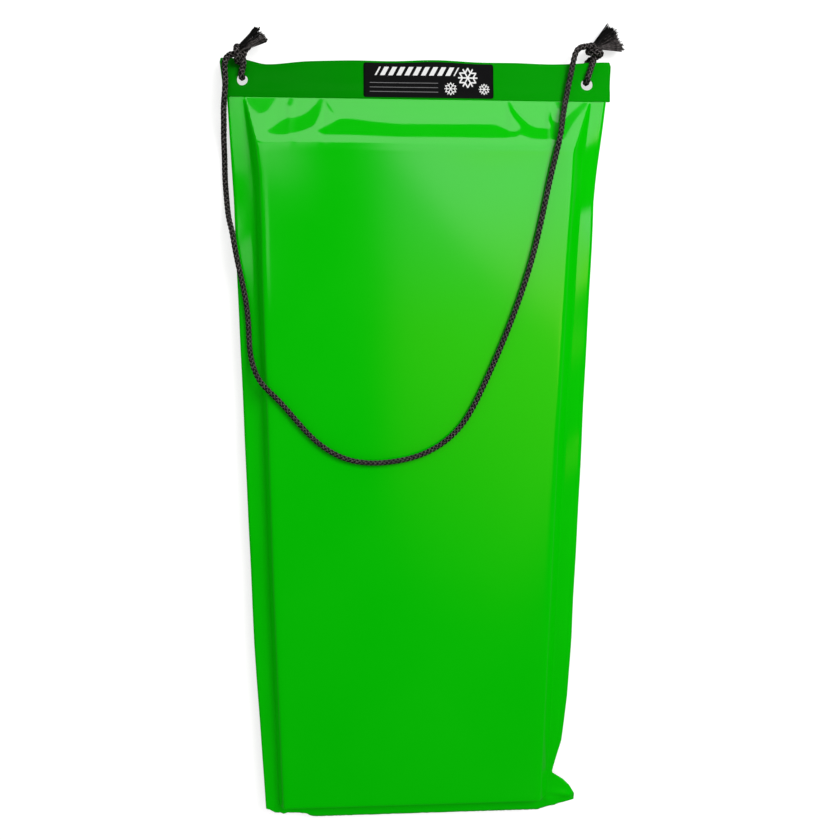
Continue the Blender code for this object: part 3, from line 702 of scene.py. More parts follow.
# Weld lines beside the slab: place along the sled and distance from its middle
LEFT_WELD = (
    (-0.530, 0.2145), (-0.150, 0.2162), (0.071, 0.2152), (0.301, 0.2144), (0.347, 0.2136),
    (0.404, 0.2134), (0.446, 0.2166), (0.503, 0.2222),
)
RIGHT_WELD = (
    (-0.530, 0.2090), (0.068, 0.2116), (0.303, 0.2151), (0.350, 0.2162), (0.393, 0.2174), (0.435, 0.2175),
    (0.500, 0.2245),
)
# The mesh lines are pulled over to the weld lines from this far off the middle
WELD_PULL_FROM = 0.110

# How the film rises from its welds: distance from the weld line and how steep it is there, in degrees
LEFT_SLOPE = (
    (0.0, 7.0), (0.0045, 8.0), (0.0056, 58.0), (0.0142, 56.0), (0.0166, 13.0), (0.0205, 7.0),
    (0.0240, 4.0), (0.0260, 0.0),
)
RIGHT_SLOPE = (
    (0.0, 52.0), (0.0030, 56.0), (0.0140, 54.0), (0.0170, 14.0), (0.0205, 6.0), (0.0235, 2.0),
    (0.0260, 0.0),
)
FOOT_SLOPE = (
    (0.0, 4.0), (0.0058, 6.0), (0.0064, 75.0), (0.0116, 75.0), (0.0134, 20.0), (0.0190, 4.0),
    (0.0240, 0.0),
)
BOTTOM_SLOPE = ((0.0, 17.0), (0.046, 28.5), (0.061, 0.0))
SLOPE_STEPS = 200
SHOULDER_BLEND = 0.0009
SHARE_BLEND = 0.04

# Folds of the slope below the header, as outlines in plan: the film is steeper inside them
CORNER_FOLD = (
    (-0.2172, 0.5021), (-0.2120, 0.4932), (-0.2002, 0.4807), (-0.1927, 0.4808), (-0.1860, 0.4851),
    (-0.1747, 0.5027),
)
LEAF_FOLD = (
    (-0.1881, 0.4598), (-0.1775, 0.4675), (-0.1693, 0.4738), (-0.1610, 0.4770), (-0.1527, 0.4772),
    (-0.1443, 0.4799), (-0.1360, 0.4858), (-0.1278, 0.4945), (-0.1219, 0.5034), (-0.1171, 0.5035),
    (-0.1185, 0.4911), (-0.1209, 0.4809), (-0.1242, 0.4725), (-0.1292, 0.4656), (-0.1375, 0.4614),
    (-0.1507, 0.4570), (-0.1656, 0.4538), (-0.1805, 0.4545), (-0.1873, 0.4570),
)
FINGER_FOLD = (
    (-0.1632, 0.4930), (-0.1618, 0.5029), (-0.1531, 0.5030), (-0.1545, 0.4936), (-0.1590, 0.4880),
)
NOTCH_FOLD = (
    (-0.1174, 0.5035), (-0.1109, 0.4960), (-0.1061, 0.4884), (-0.1023, 0.4814), (-0.1080, 0.4833),
    (-0.1133, 0.4896),
)
LONG_FOLD = (
    (-0.1275, 0.4606), (-0.1175, 0.4650), (-0.1058, 0.4719), (-0.0975, 0.4762), (-0.0841, 0.4772),
    (-0.0525, 0.4732), (-0.0209, 0.4708), (0.0426, 0.4713), (0.0937, 0.4720), (0.1023, 0.4712),
    (0.1106, 0.4671), (0.1191, 0.4637), (0.1259, 0.4630), (0.1307, 0.4660), (0.1312, 0.4699),
    (0.1247, 0.4784), (0.1189, 0.4860), (0.1166, 0.4945), (0.1156, 0.5031), (0.1197, 0.5032),
    (0.1268, 0.4895), (0.1367, 0.4793), (0.1451, 0.4717), (0.1536, 0.4680), (0.1655, 0.4674),
    (0.1743, 0.4692), (0.1692, 0.4721), (0.1668, 0.4772), (0.1662, 0.4849), (0.1683, 0.4952),
    (0.1708, 0.5039), (0.1734, 0.5039), (0.1709, 0.4919), (0.1720, 0.4833), (0.1750, 0.4782),
    (0.1814, 0.4757), (0.1866, 0.4774), (0.1920, 0.4819), (0.1992, 0.4888), (0.2082, 0.4958),
    (0.2163, 0.5033), (0.2254, 0.5046), (0.2149, 0.4907), (0.2076, 0.4821), (0.2002, 0.4717),
    (0.1946, 0.4613), (0.1890, 0.4518), (0.1803, 0.4494), (0.1735, 0.4516), (0.1614, 0.4520),
    (0.1495, 0.4522), (0.1393, 0.4547), (0.1334, 0.4576), (0.1274, 0.4545), (0.1102, 0.4530),
    (0.0932, 0.4528), (0.0422, 0.4531), (-0.0211, 0.4527), (-0.0840, 0.4545), (-0.1007, 0.4544),
    (-0.1157, 0.4547), (-0.1250, 0.4577),
)
HOOK_FOLD = ((0.1753, 0.5039), (0.1889, 0.5041), (0.1871, 0.4874), (0.1795, 0.4924))
# Tangent inside a fold at the header line, its gain for each metre down, and how folds are eased
FOLD_TANGENT = 0.402
FOLD_GAIN = 0.75
FOLD_SOFTNESS = 0.0012
FOLD_SPREAD = 0.008
FOLD_EASE = 0.0013
HEADER_SLOPE_LENGTH = 0.0690
HEADER_LIP = 0.014
FOLD_TABLE_SPACING = 0.0008

# How the films' cut edge wanders: flared at the header, drawn in at the foot, an ear at the corner
HEADER_FLARE = 0.0085
LEFT_FLARE = 0.0020
HEADER_FLARE_LENGTH = 0.125
FOOT_DRAW = 0.007
FOOT_DRAW_LENGTH = 0.300
# The right cut edge near the foot is pinched in and ends in an ear: place along the sled, half width
RIGHT_EAR = (
    (-0.5240, 0.2541), (-0.5103, 0.2463), (-0.4975, 0.2350), (-0.4830, 0.2168), (-0.4784, 0.2163),
    (-0.4608, 0.2202), (-0.4258, 0.2285), (-0.3550, 0.2337),
)
# The cut edge at the foot, from the left corner to where it runs straight: place across, distance back
LEFT_CORNER = (
    (-0.2365, 0.0180), (-0.2290, 0.0157), (-0.2170, 0.0099), (-0.1715, 0.0082), (-0.1630, 0.0022),
    (-0.1550, 0.0),
)
CORNER_CUT_RIGHT = 0.014
CORNER_CUT_WIDTH = 0.034
# Creases over the foot corners: ends in plan, height at the outer end and half width
FOOT_CREASES = (
    ((-0.2100, -0.4700), (-0.2025, -0.5400), 0.0022, 0.0032),
    ((-0.2040, -0.5050), (-0.1730, -0.5400), 0.0014, 0.0040),
    ((0.2060, -0.5120), (0.2440, -0.5240), 0.0034, 0.0050),
    ((0.2090, -0.4960), (0.2200, -0.4800), 0.0020, 0.0040),
    ((0.2020, -0.5190), (0.2200, -0.5400), 0.0020, 0.0040),
)
# The right flange hangs a little lower for a stretch: place, half length and depth
FLANGE_SAG = (0.412, 0.040, 0.0042)
# Waves of the loose edges: each height, radians for a metre and start, and how they grow off the header
FLANGE_WAVE = 0.0010
LEFT_WAVES = ((0.8, 23.0, 1.81), (0.5, 51.0, 4.94))
RIGHT_WAVES = ((0.8, 19.0, 1.9), (0.6, 43.0, 0.4))
WAVE_GROWTH = (0.004, 0.05)
FOOT_WAVES = ((0.0004, 310.0, 0.0), (0.00028, 730.0, 1.0))
# Grid of each film: shares across the flange for its outer lines, spacings, and how far the finer corner and
# fold rows reach
FLANGE_SHARES = (0.12, 0.28, 0.46, 0.64, 0.82, 1.0)
MIDDLE_SPACING = 0.007
CORNER_SPACING = 0.0016
FOOT_SPACING = 0.0013
CORNER_FROM_MIDDLE = 0.095
HEADER_FOLDS_LENGTH = 0.075
FOOT_FOLDS_LENGTH = 0.060


def ramp(value, low, high):
    """Smooth rise from nought at low to one at high, for arrays."""
    share = np.clip((value - low) / (high - low), 0.0, 1.0)
    return share * share * (3.0 - 2.0 * share)


def bump(distance, length):
    """A bell curve: one at the middle, and fading away beyond a length from it."""
    return np.exp(-((distance / length) ** 2))


def rise_curve(slope):
    """Share of the full height at a distance from the weld line, from how steep the film is."""
    places, degrees = np.array(slope).T
    distance = np.linspace(0.0, places[-1], SLOPE_STEPS)
    steepness = np.tan(np.radians(np.interp(distance, places, degrees)))
    height = np.concatenate([[0.0], np.cumsum((steepness[1:] + steepness[:-1]) / 2 * np.diff(distance))])
    return distance, height / height[-1]


LEFT_RISE = rise_curve(LEFT_SLOPE)
RIGHT_RISE = rise_curve(RIGHT_SLOPE)
FOOT_RISE = rise_curve(FOOT_SLOPE)
BOTTOM_RISE = rise_curve(BOTTOM_SLOPE)


def from_segment(x, y, start, end):
    """Share along a straight segment of the place on it that is nearest, and how far off that is."""
    run_x, run_y = end[0] - start[0], end[1] - start[1]
    past_x, past_y = x - start[0], y - start[1]
    share = np.clip((past_x * run_x + past_y * run_y) / (run_x ** 2 + run_y ** 2), 0.0, 1.0)
    return share, np.hypot(past_x - share * run_x, past_y - share * run_y)


def inside_outline(x, y, outline):
    """One inside a closed outline and nought outside it, with a soft edge."""
    corners = np.array(outline)
    nearest = np.full(x.shape, np.inf)
    inside = np.zeros(x.shape, dtype=bool)
    for start, end in zip(corners, np.roll(corners, -1, axis=0)):
        nearest = np.minimum(nearest, from_segment(x, y, start, end)[1])
        run_x, run_y = end - start
        if run_y:
            crosses = (start[1] > y) != (end[1] > y)
            inside ^= crosses & (x < start[0] + (y - start[1]) / run_y * run_x)
    return ramp(np.where(inside, nearest, -nearest), -FOLD_SOFTNESS, FOLD_SOFTNESS)


def blurred(values, width):
    """Values along the last axis, averaged with their neighbours by a bell curve."""
    reach = math.ceil(3 * width / FOLD_TABLE_SPACING)
    bell = np.exp(-0.5 * (np.arange(-reach, reach + 1) * FOLD_TABLE_SPACING / width) ** 2)
    padded = np.pad(values, [(0, 0)] * (values.ndim - 1) + [(reach, reach)], mode="edge")
    return np.apply_along_axis(np.convolve, -1, padded, bell / bell.sum(), "valid")


def header_slope_table():
    """Height of the slope below the header over its plan, from how steep each column is, fold by fold."""
    columns = np.arange(-WELD_X - SIDE_FLANGE, WELD_X + SIDE_FLANGE, FOLD_TABLE_SPACING)
    distances = np.arange(0.0, HEADER_SLOPE_LENGTH + FOLD_TABLE_SPACING, FOLD_TABLE_SPACING)
    x, distance = np.meshgrid(columns, distances)
    fold = np.zeros_like(x)
    for outline in (CORNER_FOLD, LEAF_FOLD, FINGER_FOLD, NOTCH_FOLD, LONG_FOLD, HOOK_FOLD):
        fold = np.maximum(fold, inside_outline(x, HEADER_LINE - distance, outline))
    slope = ramp(HEADER_SLOPE_LENGTH - distance, 0.0, HEADER_LIP)
    steep = FOLD_TANGENT + FOLD_GAIN * distance
    folded = blurred((fold * steep * slope).sum(axis=0) * FOLD_TABLE_SPACING, FOLD_SPREAD)
    plain = blurred(((1.0 - fold) * slope).sum(axis=0) * FOLD_TABLE_SPACING, FOLD_SPREAD)
    plain_tangent = (TOP_RISE - folded) / plain
    tangent = (fold * steep + (1.0 - fold) * plain_tangent) * slope
    heights = np.cumsum(tangent, axis=0) * FOLD_TABLE_SPACING
    heights -= heights[0]
    heights += (TOP_RISE - heights[-1]) * ramp(distance, 0.0, HEADER_SLOPE_LENGTH)
    return columns, distances, blurred(heights, FOLD_EASE)


FOLD_COLUMNS, FOLD_DISTANCES, FOLD_HEIGHTS = header_slope_table()


def header_rise(x, y):
    """Height of the slope below the header, read from its table."""
    across = (np.clip(x, FOLD_COLUMNS[0], FOLD_COLUMNS[-1]) - FOLD_COLUMNS[0]) / FOLD_TABLE_SPACING
    along = np.clip(HEADER_LINE - y, 0.0, FOLD_DISTANCES[-1]) / FOLD_TABLE_SPACING
    column = np.clip(across.astype(int), 0, len(FOLD_COLUMNS) - 2)
    row = np.clip(along.astype(int), 0, len(FOLD_DISTANCES) - 2)
    right, down = across - column, along - row
    upper = FOLD_HEIGHTS[row, column] * (1.0 - right) + FOLD_HEIGHTS[row, column + 1] * right
    lower = FOLD_HEIGHTS[row + 1, column] * (1.0 - right) + FOLD_HEIGHTS[row + 1, column + 1] * right
    return upper * (1.0 - down) + lower * down


def lower_of(first, second, blend):
    """The lower of two heights, with a rounded change from one to the other."""
    return (first + second - np.sqrt((first - second) ** 2 + blend ** 2)) / 2


def weld_place(x, y):
    """Distance from the middle to the weld line on that side."""
    left = np.interp(y, *np.array(LEFT_WELD).T)
    right = np.interp(y, *np.array(RIGHT_WELD).T)
    return np.where(x < 0.0, left, right)


def side_share(x, y):
    """Share of the full rise that the slope from the side weld has reached."""
    inside = weld_place(x, y) - np.abs(x)
    return np.where(x < 0.0, np.interp(inside, *LEFT_RISE), np.interp(inside, *RIGHT_RISE))


def foot_creases(x, y):
    """Low ridges over the foot corners, where the film is gathered, growing towards their outer ends."""
    total = np.zeros_like(x)
    for start, end, height, width in FOOT_CREASES:
        share, away = from_segment(x, y, start, end)
        total += height * share * bump(away, width)
    return total


def top_rise(x, y):
    """Rise of the top film over its weld plane: the lowest of the slopes from the three welds."""
    side = TOP_RISE * side_share(x, y)
    foot = TOP_RISE * np.interp(y - FOOT_WELD, *FOOT_RISE)
    rise = lower_of(lower_of(side, header_rise(x, y), SHOULDER_BLEND), foot, SHOULDER_BLEND)
    return np.maximum(rise, 0.0) + foot_creases(x, y)


def bottom_share(x, y):
    """Share of the bottom film's full drop at a place."""
    side = side_share(x, y)
    header = np.interp(HEADER_LINE - y, *BOTTOM_RISE)
    foot = np.interp(y - FOOT_WELD, *FOOT_RISE)
    return np.maximum(lower_of(lower_of(side, header, SHARE_BLEND), foot, SHARE_BLEND), 0.0)


def crown_share(x, y):
    """Gentle crown of the top, nil at the edges of the flat and one in the middle."""
    low = FOOT_WELD + FOOT_RISE[0][-1]
    high = HEADER_LINE - HEADER_SLOPE_LENGTH
    half = (high - low) / 2
    across = 1.0 - np.minimum(np.abs(x) / (WELD_X - RIGHT_RISE[0][-1]), 1.0) ** 2
    along = 1.0 - np.minimum(np.abs(y - (high + low) / 2) / half, 1.0) ** 4
    return across * along


def flange_share(x, y):
    """How far out on the side flange a point is: nought at the weld."""
    return np.maximum(np.abs(x) - weld_place(x, y), 0.0) / SIDE_FLANGE


def waves(place, parts):
    """Sum of sine waves, each with its height, its radians for a metre and its start."""
    return sum(height * np.sin(place * turn + start) for height, turn, start in parts)


def flange_wave(x, y):
    """Slow waves of the loose flange, the same in both films, growing towards the cut edge."""
    wave = np.where(x < 0.0, waves(y, LEFT_WAVES), waves(y, RIGHT_WAVES)) * flange_share(x, y)
    middle, half_length, depth = FLANGE_SAG
    sag = np.where(x < 0.0, 0.0, depth * bump(y - middle, half_length)) * flange_share(x, y)
    return FLANGE_WAVE * wave * ramp(HEADER_LINE - y, *WAVE_GROWTH) - sag


def weld_plane(x, y):
    """Height of the plane between the two films: it falls at the header and in the loose flanges."""
    header = np.maximum(y - HEADER_LINE, 0.0) / HEADER_DEPTH * HEADER_FALL
    side = flange_share(x, y) * SIDE_FLANGE_FALL * np.clip((HEADER_LINE - y) / HEADER_FLARE_LENGTH, 0.0, 1.0)
    foot = np.maximum(FOOT_WELD - y, 0.0) / FOOT_FLANGE * FOOT_FLANGE_FALL
    return WELD_HEIGHT - header - side - foot + flange_wave(x, y)


def flange_edge(x, y):
    """Distance from the middle to the films' cut edge on that side."""
    flare = np.where(x < 0.0, LEFT_FLARE, HEADER_FLARE)
    flare = flare * np.clip(1.0 - (HEADER_LINE - y) / HEADER_FLARE_LENGTH, 0.0, 1.0)
    draw = FOOT_DRAW * np.clip(1.0 - (y - FOOT_EDGE) / FOOT_DRAW_LENGTH, 0.0, 1.0)
    at_ear = (x > 0.0) & (y < RIGHT_EAR[-1][0])
    ear = np.interp(y, *np.array(RIGHT_EAR).T)
    return np.where(at_ear, ear, WELD_X + SIDE_FLANGE + flare - draw)


def foot_edge(x):
    """Place of the cut edge at the foot: both corners are drawn back, and the cut wavers a little."""
    left = np.interp(x, *np.array(LEFT_CORNER).T)
    right = np.maximum(1.0 - (WELD_X + SIDE_FLANGE - x) / CORNER_CUT_WIDTH, 0.0) * CORNER_CUT_RIGHT
    return FOOT_EDGE + left + right + np.abs(waves(x, FOOT_WAVES))


def graded(stops):
    """Places from the first stop to the last, each stretch divided evenly to about its own spacing."""
    places = []
    for (start, spacing), (end, _) in zip(stops, stops[1:]):
        count = max(1, round((end - start) / spacing))
        places += [start + (end - start) * step / count for step in range(count)]
    return np.array(places + [stops[-1][0]])


def film_grid(corner_spacing, middle_spacing):
    """Plan places of a film's grid: fine at the corners, with its outer lines along the cut edge."""
    half = graded(((0.0, middle_spacing), (CORNER_FROM_MIDDLE, corner_spacing), (WELD_X, corner_spacing)))
    inner = np.concatenate([-half[:0:-1], half])
    rows = graded((
        (FOOT_WELD, FOOT_SPACING),
        (FOOT_WELD + FOOT_FOLDS_LENGTH, middle_spacing),
        (HEADER_LINE - HEADER_FOLDS_LENGTH, corner_spacing),
        (HEADER_LINE, corner_spacing),
        (FILM_END, corner_spacing),
    ))
    shares = np.array(FLANGE_SHARES)
    x = np.concatenate([np.full(len(shares), -WELD_X), inner, np.full(len(shares), WELD_X)])
    out = np.concatenate([shares[::-1], np.zeros(len(inner)), shares])
    y = np.concatenate([np.full(len(shares), FOOT_WELD), rows])
    down = np.concatenate([shares[::-1], np.zeros(len(rows))])
    x, y = np.meshgrid(x, y)
    out, down = np.meshgrid(out, down)
    y = y + down * (foot_edge(x + np.sign(x) * out * SIDE_FLANGE) - FOOT_WELD)
    pull = (weld_place(x, y) - WELD_X) * ramp(np.abs(x), WELD_PULL_FROM, WELD_X)
    reach = flange_edge(x, y) - weld_place(x, y)
    return x + np.sign(x) * (pull + out * reach), y


def grid_object(name, x, y, z, upwards=True):
    """A mesh object from arrays of places, one quad for each cell."""
    index = np.arange(x.size).reshape(x.shape)
    quads = np.stack((index[:-1, :-1], index[:-1, 1:], index[1:, 1:], index[1:, :-1]), axis=-1).reshape(-1, 4)
    if not upwards:
        quads = quads[:, ::-1]
    mesh = bpy.data.meshes.new(name)
    mesh.from_pydata(np.stack((x, y, z), axis=-1).reshape(-1, 3).tolist(), [], quads.tolist())
    mesh.shade_smooth()
    return link(bpy.data.objects.new(name, mesh))


def thicken(item, thickness):
    """Give a sheet its thickness, half to either side."""
    shell = item.modifiers.new("thickness", "SOLIDIFY")
    shell.thickness = thickness
    shell.offset = 0.0
    shell.use_even_offset = True
    shell.use_quality_normals = True


def top_height(x, y):
    """Height of the top film."""
    return weld_plane(x, y) + FILM_OFFSET + top_rise(x, y) + CROWN * crown_share(x, y)


def bottom_height(x, y):
    """Height of the bottom film."""
    return weld_plane(x, y) - FILM_OFFSET - BOTTOM_DROP * bottom_share(x, y)


FILM_COLOUR = (0.0015, 0.49, 0.0, 1.0)
FILM_DEEP_COLOUR = (0.0, 0.46, 0.0, 1.0)
FILM_ROUGHNESS = 0.11
ROUGHNESS_CHANGE = 0.02
UNEVEN_RANGE = (0.3, 0.7)
GRAIN_DEPTH = 0.0001


def new_shader_group(name, inputs):
    """A shader node group, and what comes in by name."""
    tree = bpy.data.node_groups.new(name, "ShaderNodeTree")
    for label, value in inputs.items():
        item = tree.interface.new_socket(label, in_out="INPUT", socket_type="NodeSocketFloat")
        item.default_value = value
    return tree, outputs_of(tree, "NodeGroupInput")


def give_results(tree, results):
    """What goes out of a node group: name to (socket type, value)."""
    for label, (kind, _) in results.items():
        tree.interface.new_socket(label, in_out="OUTPUT", socket_type=kind)
    add_node(tree, "NodeGroupOutput", {label: value for label, (_, value) in results.items()})
    return tree


def object_place(tree):
    """Where on the object a point is, in metres."""
    return outputs_of(tree, "ShaderNodeTexCoord")["Object"]


def make_film_grain():
    """Node group: the fine grain that calendering leaves in PVC film, and its slow unevenness."""
    inputs = {"Grain Scale": 1400.0, "Grain Strength": 0.05, "Unevenness Scale": 5.0}
    tree, given = new_shader_group("film grain", inputs)
    place = object_place(tree)
    grain = noise(place, given["Grain Scale"], 1.0)
    return give_results(tree, {
        "Normal": ("NodeSocketVector", relief(grain, given["Grain Strength"], GRAIN_DEPTH)),
        "Unevenness": ("NodeSocketFloat", noise(place, given["Unevenness Scale"], 3.0)),
    })


film_grain = make_film_grain()


def make_film_material(name, colour, deep_colour, roughness):
    """Glossy pigmented PVC with a fine grain and slow changes of depth and gloss."""
    material, tree, shader = new_material(name)
    effect = outputs_of(tree, "ShaderNodeGroup", node_tree=film_grain)
    gloss = dict(zip(("From Min", "From Max"), UNEVEN_RANGE))
    gloss.update({"To Min": roughness - ROUGHNESS_CHANGE, "To Max": roughness + ROUGHNESS_CHANGE})
    set_inputs(shader, {
        "Base Color": mix_colours(effect["Unevenness"], deep_colour, colour),
        "Roughness": value_from(tree, "ShaderNodeMapRange", {"Value": effect["Unevenness"], **gloss}),
        "Normal": effect["Normal"],
    })
    return material


film_material = make_film_material("glossy_film", FILM_COLOUR, FILM_DEEP_COLOUR, FILM_ROUGHNESS)


def make_film(name, height, corner_spacing, middle_spacing, node, upwards):
    """One film of the sled, with a finer mesh at corners and folds."""
    x, y = film_grid(corner_spacing, middle_spacing)
    film = grid_object(name, x, y, height(x, y), upwards)
    thicken(film, FILM)
    film.data.materials.append(film_material)
    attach(film, "sled")
    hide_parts(node)
    return film


top_film = make_film("top_film", top_height, CORNER_SPACING, MIDDLE_SPACING, "top_cover", True)

# Bottom film: the same PVC drawn under the slab and welded to the top film round it. It is flat
# where the sled slides on it.
BOTTOM_CORNER_SPACING = 0.0035
BOTTOM_MIDDLE_SPACING = 0.010
bottom_film = make_film(
    "bottom_film", bottom_height, BOTTOM_CORNER_SPACING, BOTTOM_MIDDLE_SPACING, "bottom_cover", False
)

# Header strip: a strip of darker film folded over the ends of both films and welded to them. A round
# tow hole is punched near each end. The pull of the rope has dented it at the left hole.
HEADER_WIDTH = 0.500
HEADER_MIDDLE = np.float64(0.0)
HEADER_SQUEEZE = 0.006
LEAF_OFFSET = FILM_OFFSET + FILM + CLEARANCE
FOLD_STEPS = 8
OVERLAP_STEPS = 5
LEAF_STEPS = 8
HEADER_SPACING = 0.004
HOLE_DIAMETER = 0.015
HOLE_TO_END = 0.030
HOLE_TO_EDGE = 0.0265
HOLE_SIDES = 40
HEADER_ROUND = 0.0045
# Dent beside the left hole: its place, how wide it is to either side, how deep and how far it sinks
DENT_PLACE = -0.188
DENT_WIDTHS = (0.024, 0.040)
DENT_DEPTH = 0.0075
DENT_SINK = 0.004
DENT_TURN = 0.8
CORNER_CURL = 0.004
CURL_ACROSS = (0.205, 0.250)
CURL_ALONG = (0.520, 0.550)
HEADER_WAVES = ((0.0007, 27.0, 0.8), (0.0004, 61.0, 0.0))
WAVE_LIFT = 1.6
SHARP_ANGLE = math.radians(50.0)
# The left end leans inward: from where, by how much, and how much more at the films
LEFT_END_FROM = 0.215
LEFT_END_SHIFT = 0.002
LEFT_END_SLANT = 0.006
# The strip's colour, and its deeper colour, which serves both its random unevenness and the painted shade at
# its left end
HEADER_COLOUR = (0.0, 0.275, 0.0, 1.0)
HEADER_DEEP_AND_SHADED_COLOUR = (0.0, 0.180, 0.0, 1.0)
HEADER_ROUGHNESS = 0.2
HEADER_GLOSS = 0.02
# Painted shade: the strip is a little deeper in colour towards its left end, where the dent is
HEADER_SHADE_FROM = -0.26
HEADER_SHADE_TO = 0.22
PAINTED_SHADE_SHARE = 0.8
UNEVEN_SHARE = 0.3


def leaf_offset(y):
    """Half the spread of the header strip's leaves: wide over the films, tight beyond them."""
    share = np.clip((y - FILM_END) / HEADER_SQUEEZE, 0.0, 1.0)
    return LEAF_OFFSET + (FILM_OFFSET - LEAF_OFFSET) * share


def header_section():
    """Cross section of the folded strip, from the lower leaf's edge round the fold to the upper leaf's."""
    fold_y = HEADER_EDGE - FILM_OFFSET - FILM / 2
    leaf = np.concatenate([
        np.linspace(HEADER_LINE, FILM_END + CLEARANCE, OVERLAP_STEPS),
        np.linspace(FILM_END + HEADER_SQUEEZE, HEADER_EDGE - FILM_OFFSET - FILM, LEAF_STEPS),
    ])
    turn = np.linspace(-math.pi / 2, math.pi / 2, FOLD_STEPS + 1)
    fold_z = weld_plane(HEADER_MIDDLE, fold_y) + FILM_OFFSET * np.sin(turn)
    fold = np.stack((fold_y + FILM_OFFSET * np.cos(turn), fold_z), -1)
    upper = np.stack((leaf, weld_plane(HEADER_MIDDLE, leaf) + leaf_offset(leaf)), -1)
    lower = np.stack((leaf, weld_plane(HEADER_MIDDLE, leaf) - leaf_offset(leaf)), -1)
    return np.concatenate([lower, fold, upper[::-1]])


def header_bend(x, y, z):
    """Where the flat strip's points end up: dented at the left hole, wavy, curled at the right corner."""
    out = np.clip((y - HEADER_LINE) / HEADER_DEPTH, 0.0, 1.0)
    dent = bump(x - DENT_PLACE, np.where(x < DENT_PLACE, DENT_WIDTHS[0], DENT_WIDTHS[1]))
    wave = waves(x, HEADER_WAVES)
    corner = ramp(x, *CURL_ACROSS) * ramp(y, *CURL_ALONG)
    slant = ramp(-x, LEFT_END_FROM, HEADER_WIDTH / 2) * (LEFT_END_SHIFT + LEFT_END_SLANT * (1.0 - out))
    sink = DENT_SINK * dent * np.sin(out * math.pi * DENT_TURN)
    new_y = y - DENT_DEPTH * dent * out ** 2 + wave * out
    return x + slant, new_y, z + (wave * WAVE_LIFT - sink) * out + CORNER_CURL * corner


def cut_hole(item, x_side):
    """Punch a round hole square to the strip."""
    y = HEADER_EDGE - HOLE_TO_EDGE
    centre = Vector((x_side * (HEADER_WIDTH / 2 - HOLE_TO_END), y, float(weld_plane(HEADER_MIDDLE, y))))
    mesh = bmesh.new()
    bmesh.ops.create_cone(
        mesh,
        cap_ends=True,
        segments=HOLE_SIDES,
        radius1=HOLE_DIAMETER / 2,
        radius2=HOLE_DIAMETER / 2,
        depth=HOLE_DIAMETER,
        matrix=Matrix.Translation(centre) @ Matrix.Rotation(-math.atan2(HEADER_FALL, HEADER_DEPTH), 4, "X"),
    )
    data = bpy.data.meshes.new("punch")
    mesh.to_mesh(data)
    mesh.free()
    punch = link(bpy.data.objects.new("punch", data))
    cut = item.modifiers.new("hole", "BOOLEAN")
    cut.operation = "DIFFERENCE"
    cut.solver = "EXACT"
    cut.object = punch
    return punch


def bake_modifiers(item):
    """Replace an object's mesh by its evaluated one and drop its modifiers."""
    bpy.context.view_layer.update()
    mesh = bpy.data.meshes.new_from_object(item.evaluated_get(bpy.context.evaluated_depsgraph_get()))
    item.modifiers.clear()
    item.data = mesh


def make_header():
    """The folded strip with its rounded ends, holes punched while it is flat, and then bent."""
    section = header_section()
    count = round(HEADER_WIDTH / HEADER_SPACING)
    x, y = np.meshgrid(np.linspace(-HEADER_WIDTH / 2, HEADER_WIDTH / 2, count + 1), section[:, 0])
    z = np.repeat(section[:, 1:], count + 1, axis=1)
    past_round = np.clip((y - (HEADER_EDGE - HEADER_ROUND)) / HEADER_ROUND, 0.0, 1.0)
    draw_in = HEADER_ROUND * (1.0 - np.sqrt(1.0 - past_round ** 2))
    near_end = ramp(np.abs(x), HEADER_WIDTH / 2 - HEADER_ROUND * 3, HEADER_WIDTH / 2)
    item = grid_object("folded_header", x - np.sign(x) * draw_in * near_end, y, z, False)
    thicken(item, FILM)
    punches = [cut_hole(item, -1.0), cut_hole(item, 1.0)]
    bake_modifiers(item)
    for punch in punches:
        bpy.data.objects.remove(punch, do_unlink=True)
    places = np.empty(len(item.data.vertices) * 3)
    item.data.vertices.foreach_get("co", places)
    bent = np.stack(header_bend(*places.reshape(-1, 3).T), axis=-1)
    item.data.vertices.foreach_set("co", bent.ravel())
    item.data.shade_smooth()
    item.data.set_sharp_from_angle(angle=SHARP_ANGLE)
    return item


def shade_header(tree):
    """Less gloss than the films, and painted shade: a slow change of colour along the strip, deeper towards
    its left end.
    """
    shader = tree.nodes["Principled BSDF"]
    shader.inputs["Specular IOR Level"].default_value = HEADER_GLOSS
    share = socket(shader.inputs["Base Color"].links[0].from_node.inputs, "Factor")
    uneven = Value(tree, share.links[0].from_socket) * UNEVEN_SHARE
    # Painted shade: the deep colour takes over towards the left end
    unshaded = smooth_range(axes_of(object_place(tree))["X"], HEADER_SHADE_FROM, HEADER_SHADE_TO)
    mixed = unshaded.math("MULTIPLY_ADD", PAINTED_SHADE_SHARE, uneven, clamp=True)
    tree.links.new(mixed.source, share)


header = make_header()
header_material = make_film_material("header_film", HEADER_COLOUR, HEADER_DEEP_AND_SHADED_COLOUR, HEADER_ROUGHNESS)
shade_header(header_material.node_tree)
header.data.materials.clear()
header.data.materials.append(header_material)
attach(header, "sled")
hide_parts("header_strip")

# Sticker: printed vinyl stuck on the header, black with plain generic motifs and no lettering.
LABEL_WIDTH = 0.166
LABEL_HEIGHT = 0.0435
LABEL_THICKNESS = 0.0002
LABEL_ROUND = 0.003
LABEL_FROM_CENTRE = 0.016
LABEL_FROM_EDGE = 0.0025
LABEL_COLUMNS = 60
LABEL_ROWS = 24
STICKER_BLACK = (0.0035, 0.0035, 0.004, 1.0)
STICKER_GLOSS = 0.04
STICKER_ROUGHNESS = 0.45
STICKER_WHITE = (0.72, 0.72, 0.72, 1.0)
STICKER_GREY = (0.16, 0.16, 0.165, 1.0)
PRINT_EDGE = 0.00005
# Slanted white bars: lean, half their spacing, half width, and the field they fill
BAR_SLANT = -0.55
BAR_SPACING = 0.0052
BAR_WIDTH = 0.0030
BARS_UP = (0.0060, 0.0165)
BARS_ACROSS = (-0.0720, 0.0300)
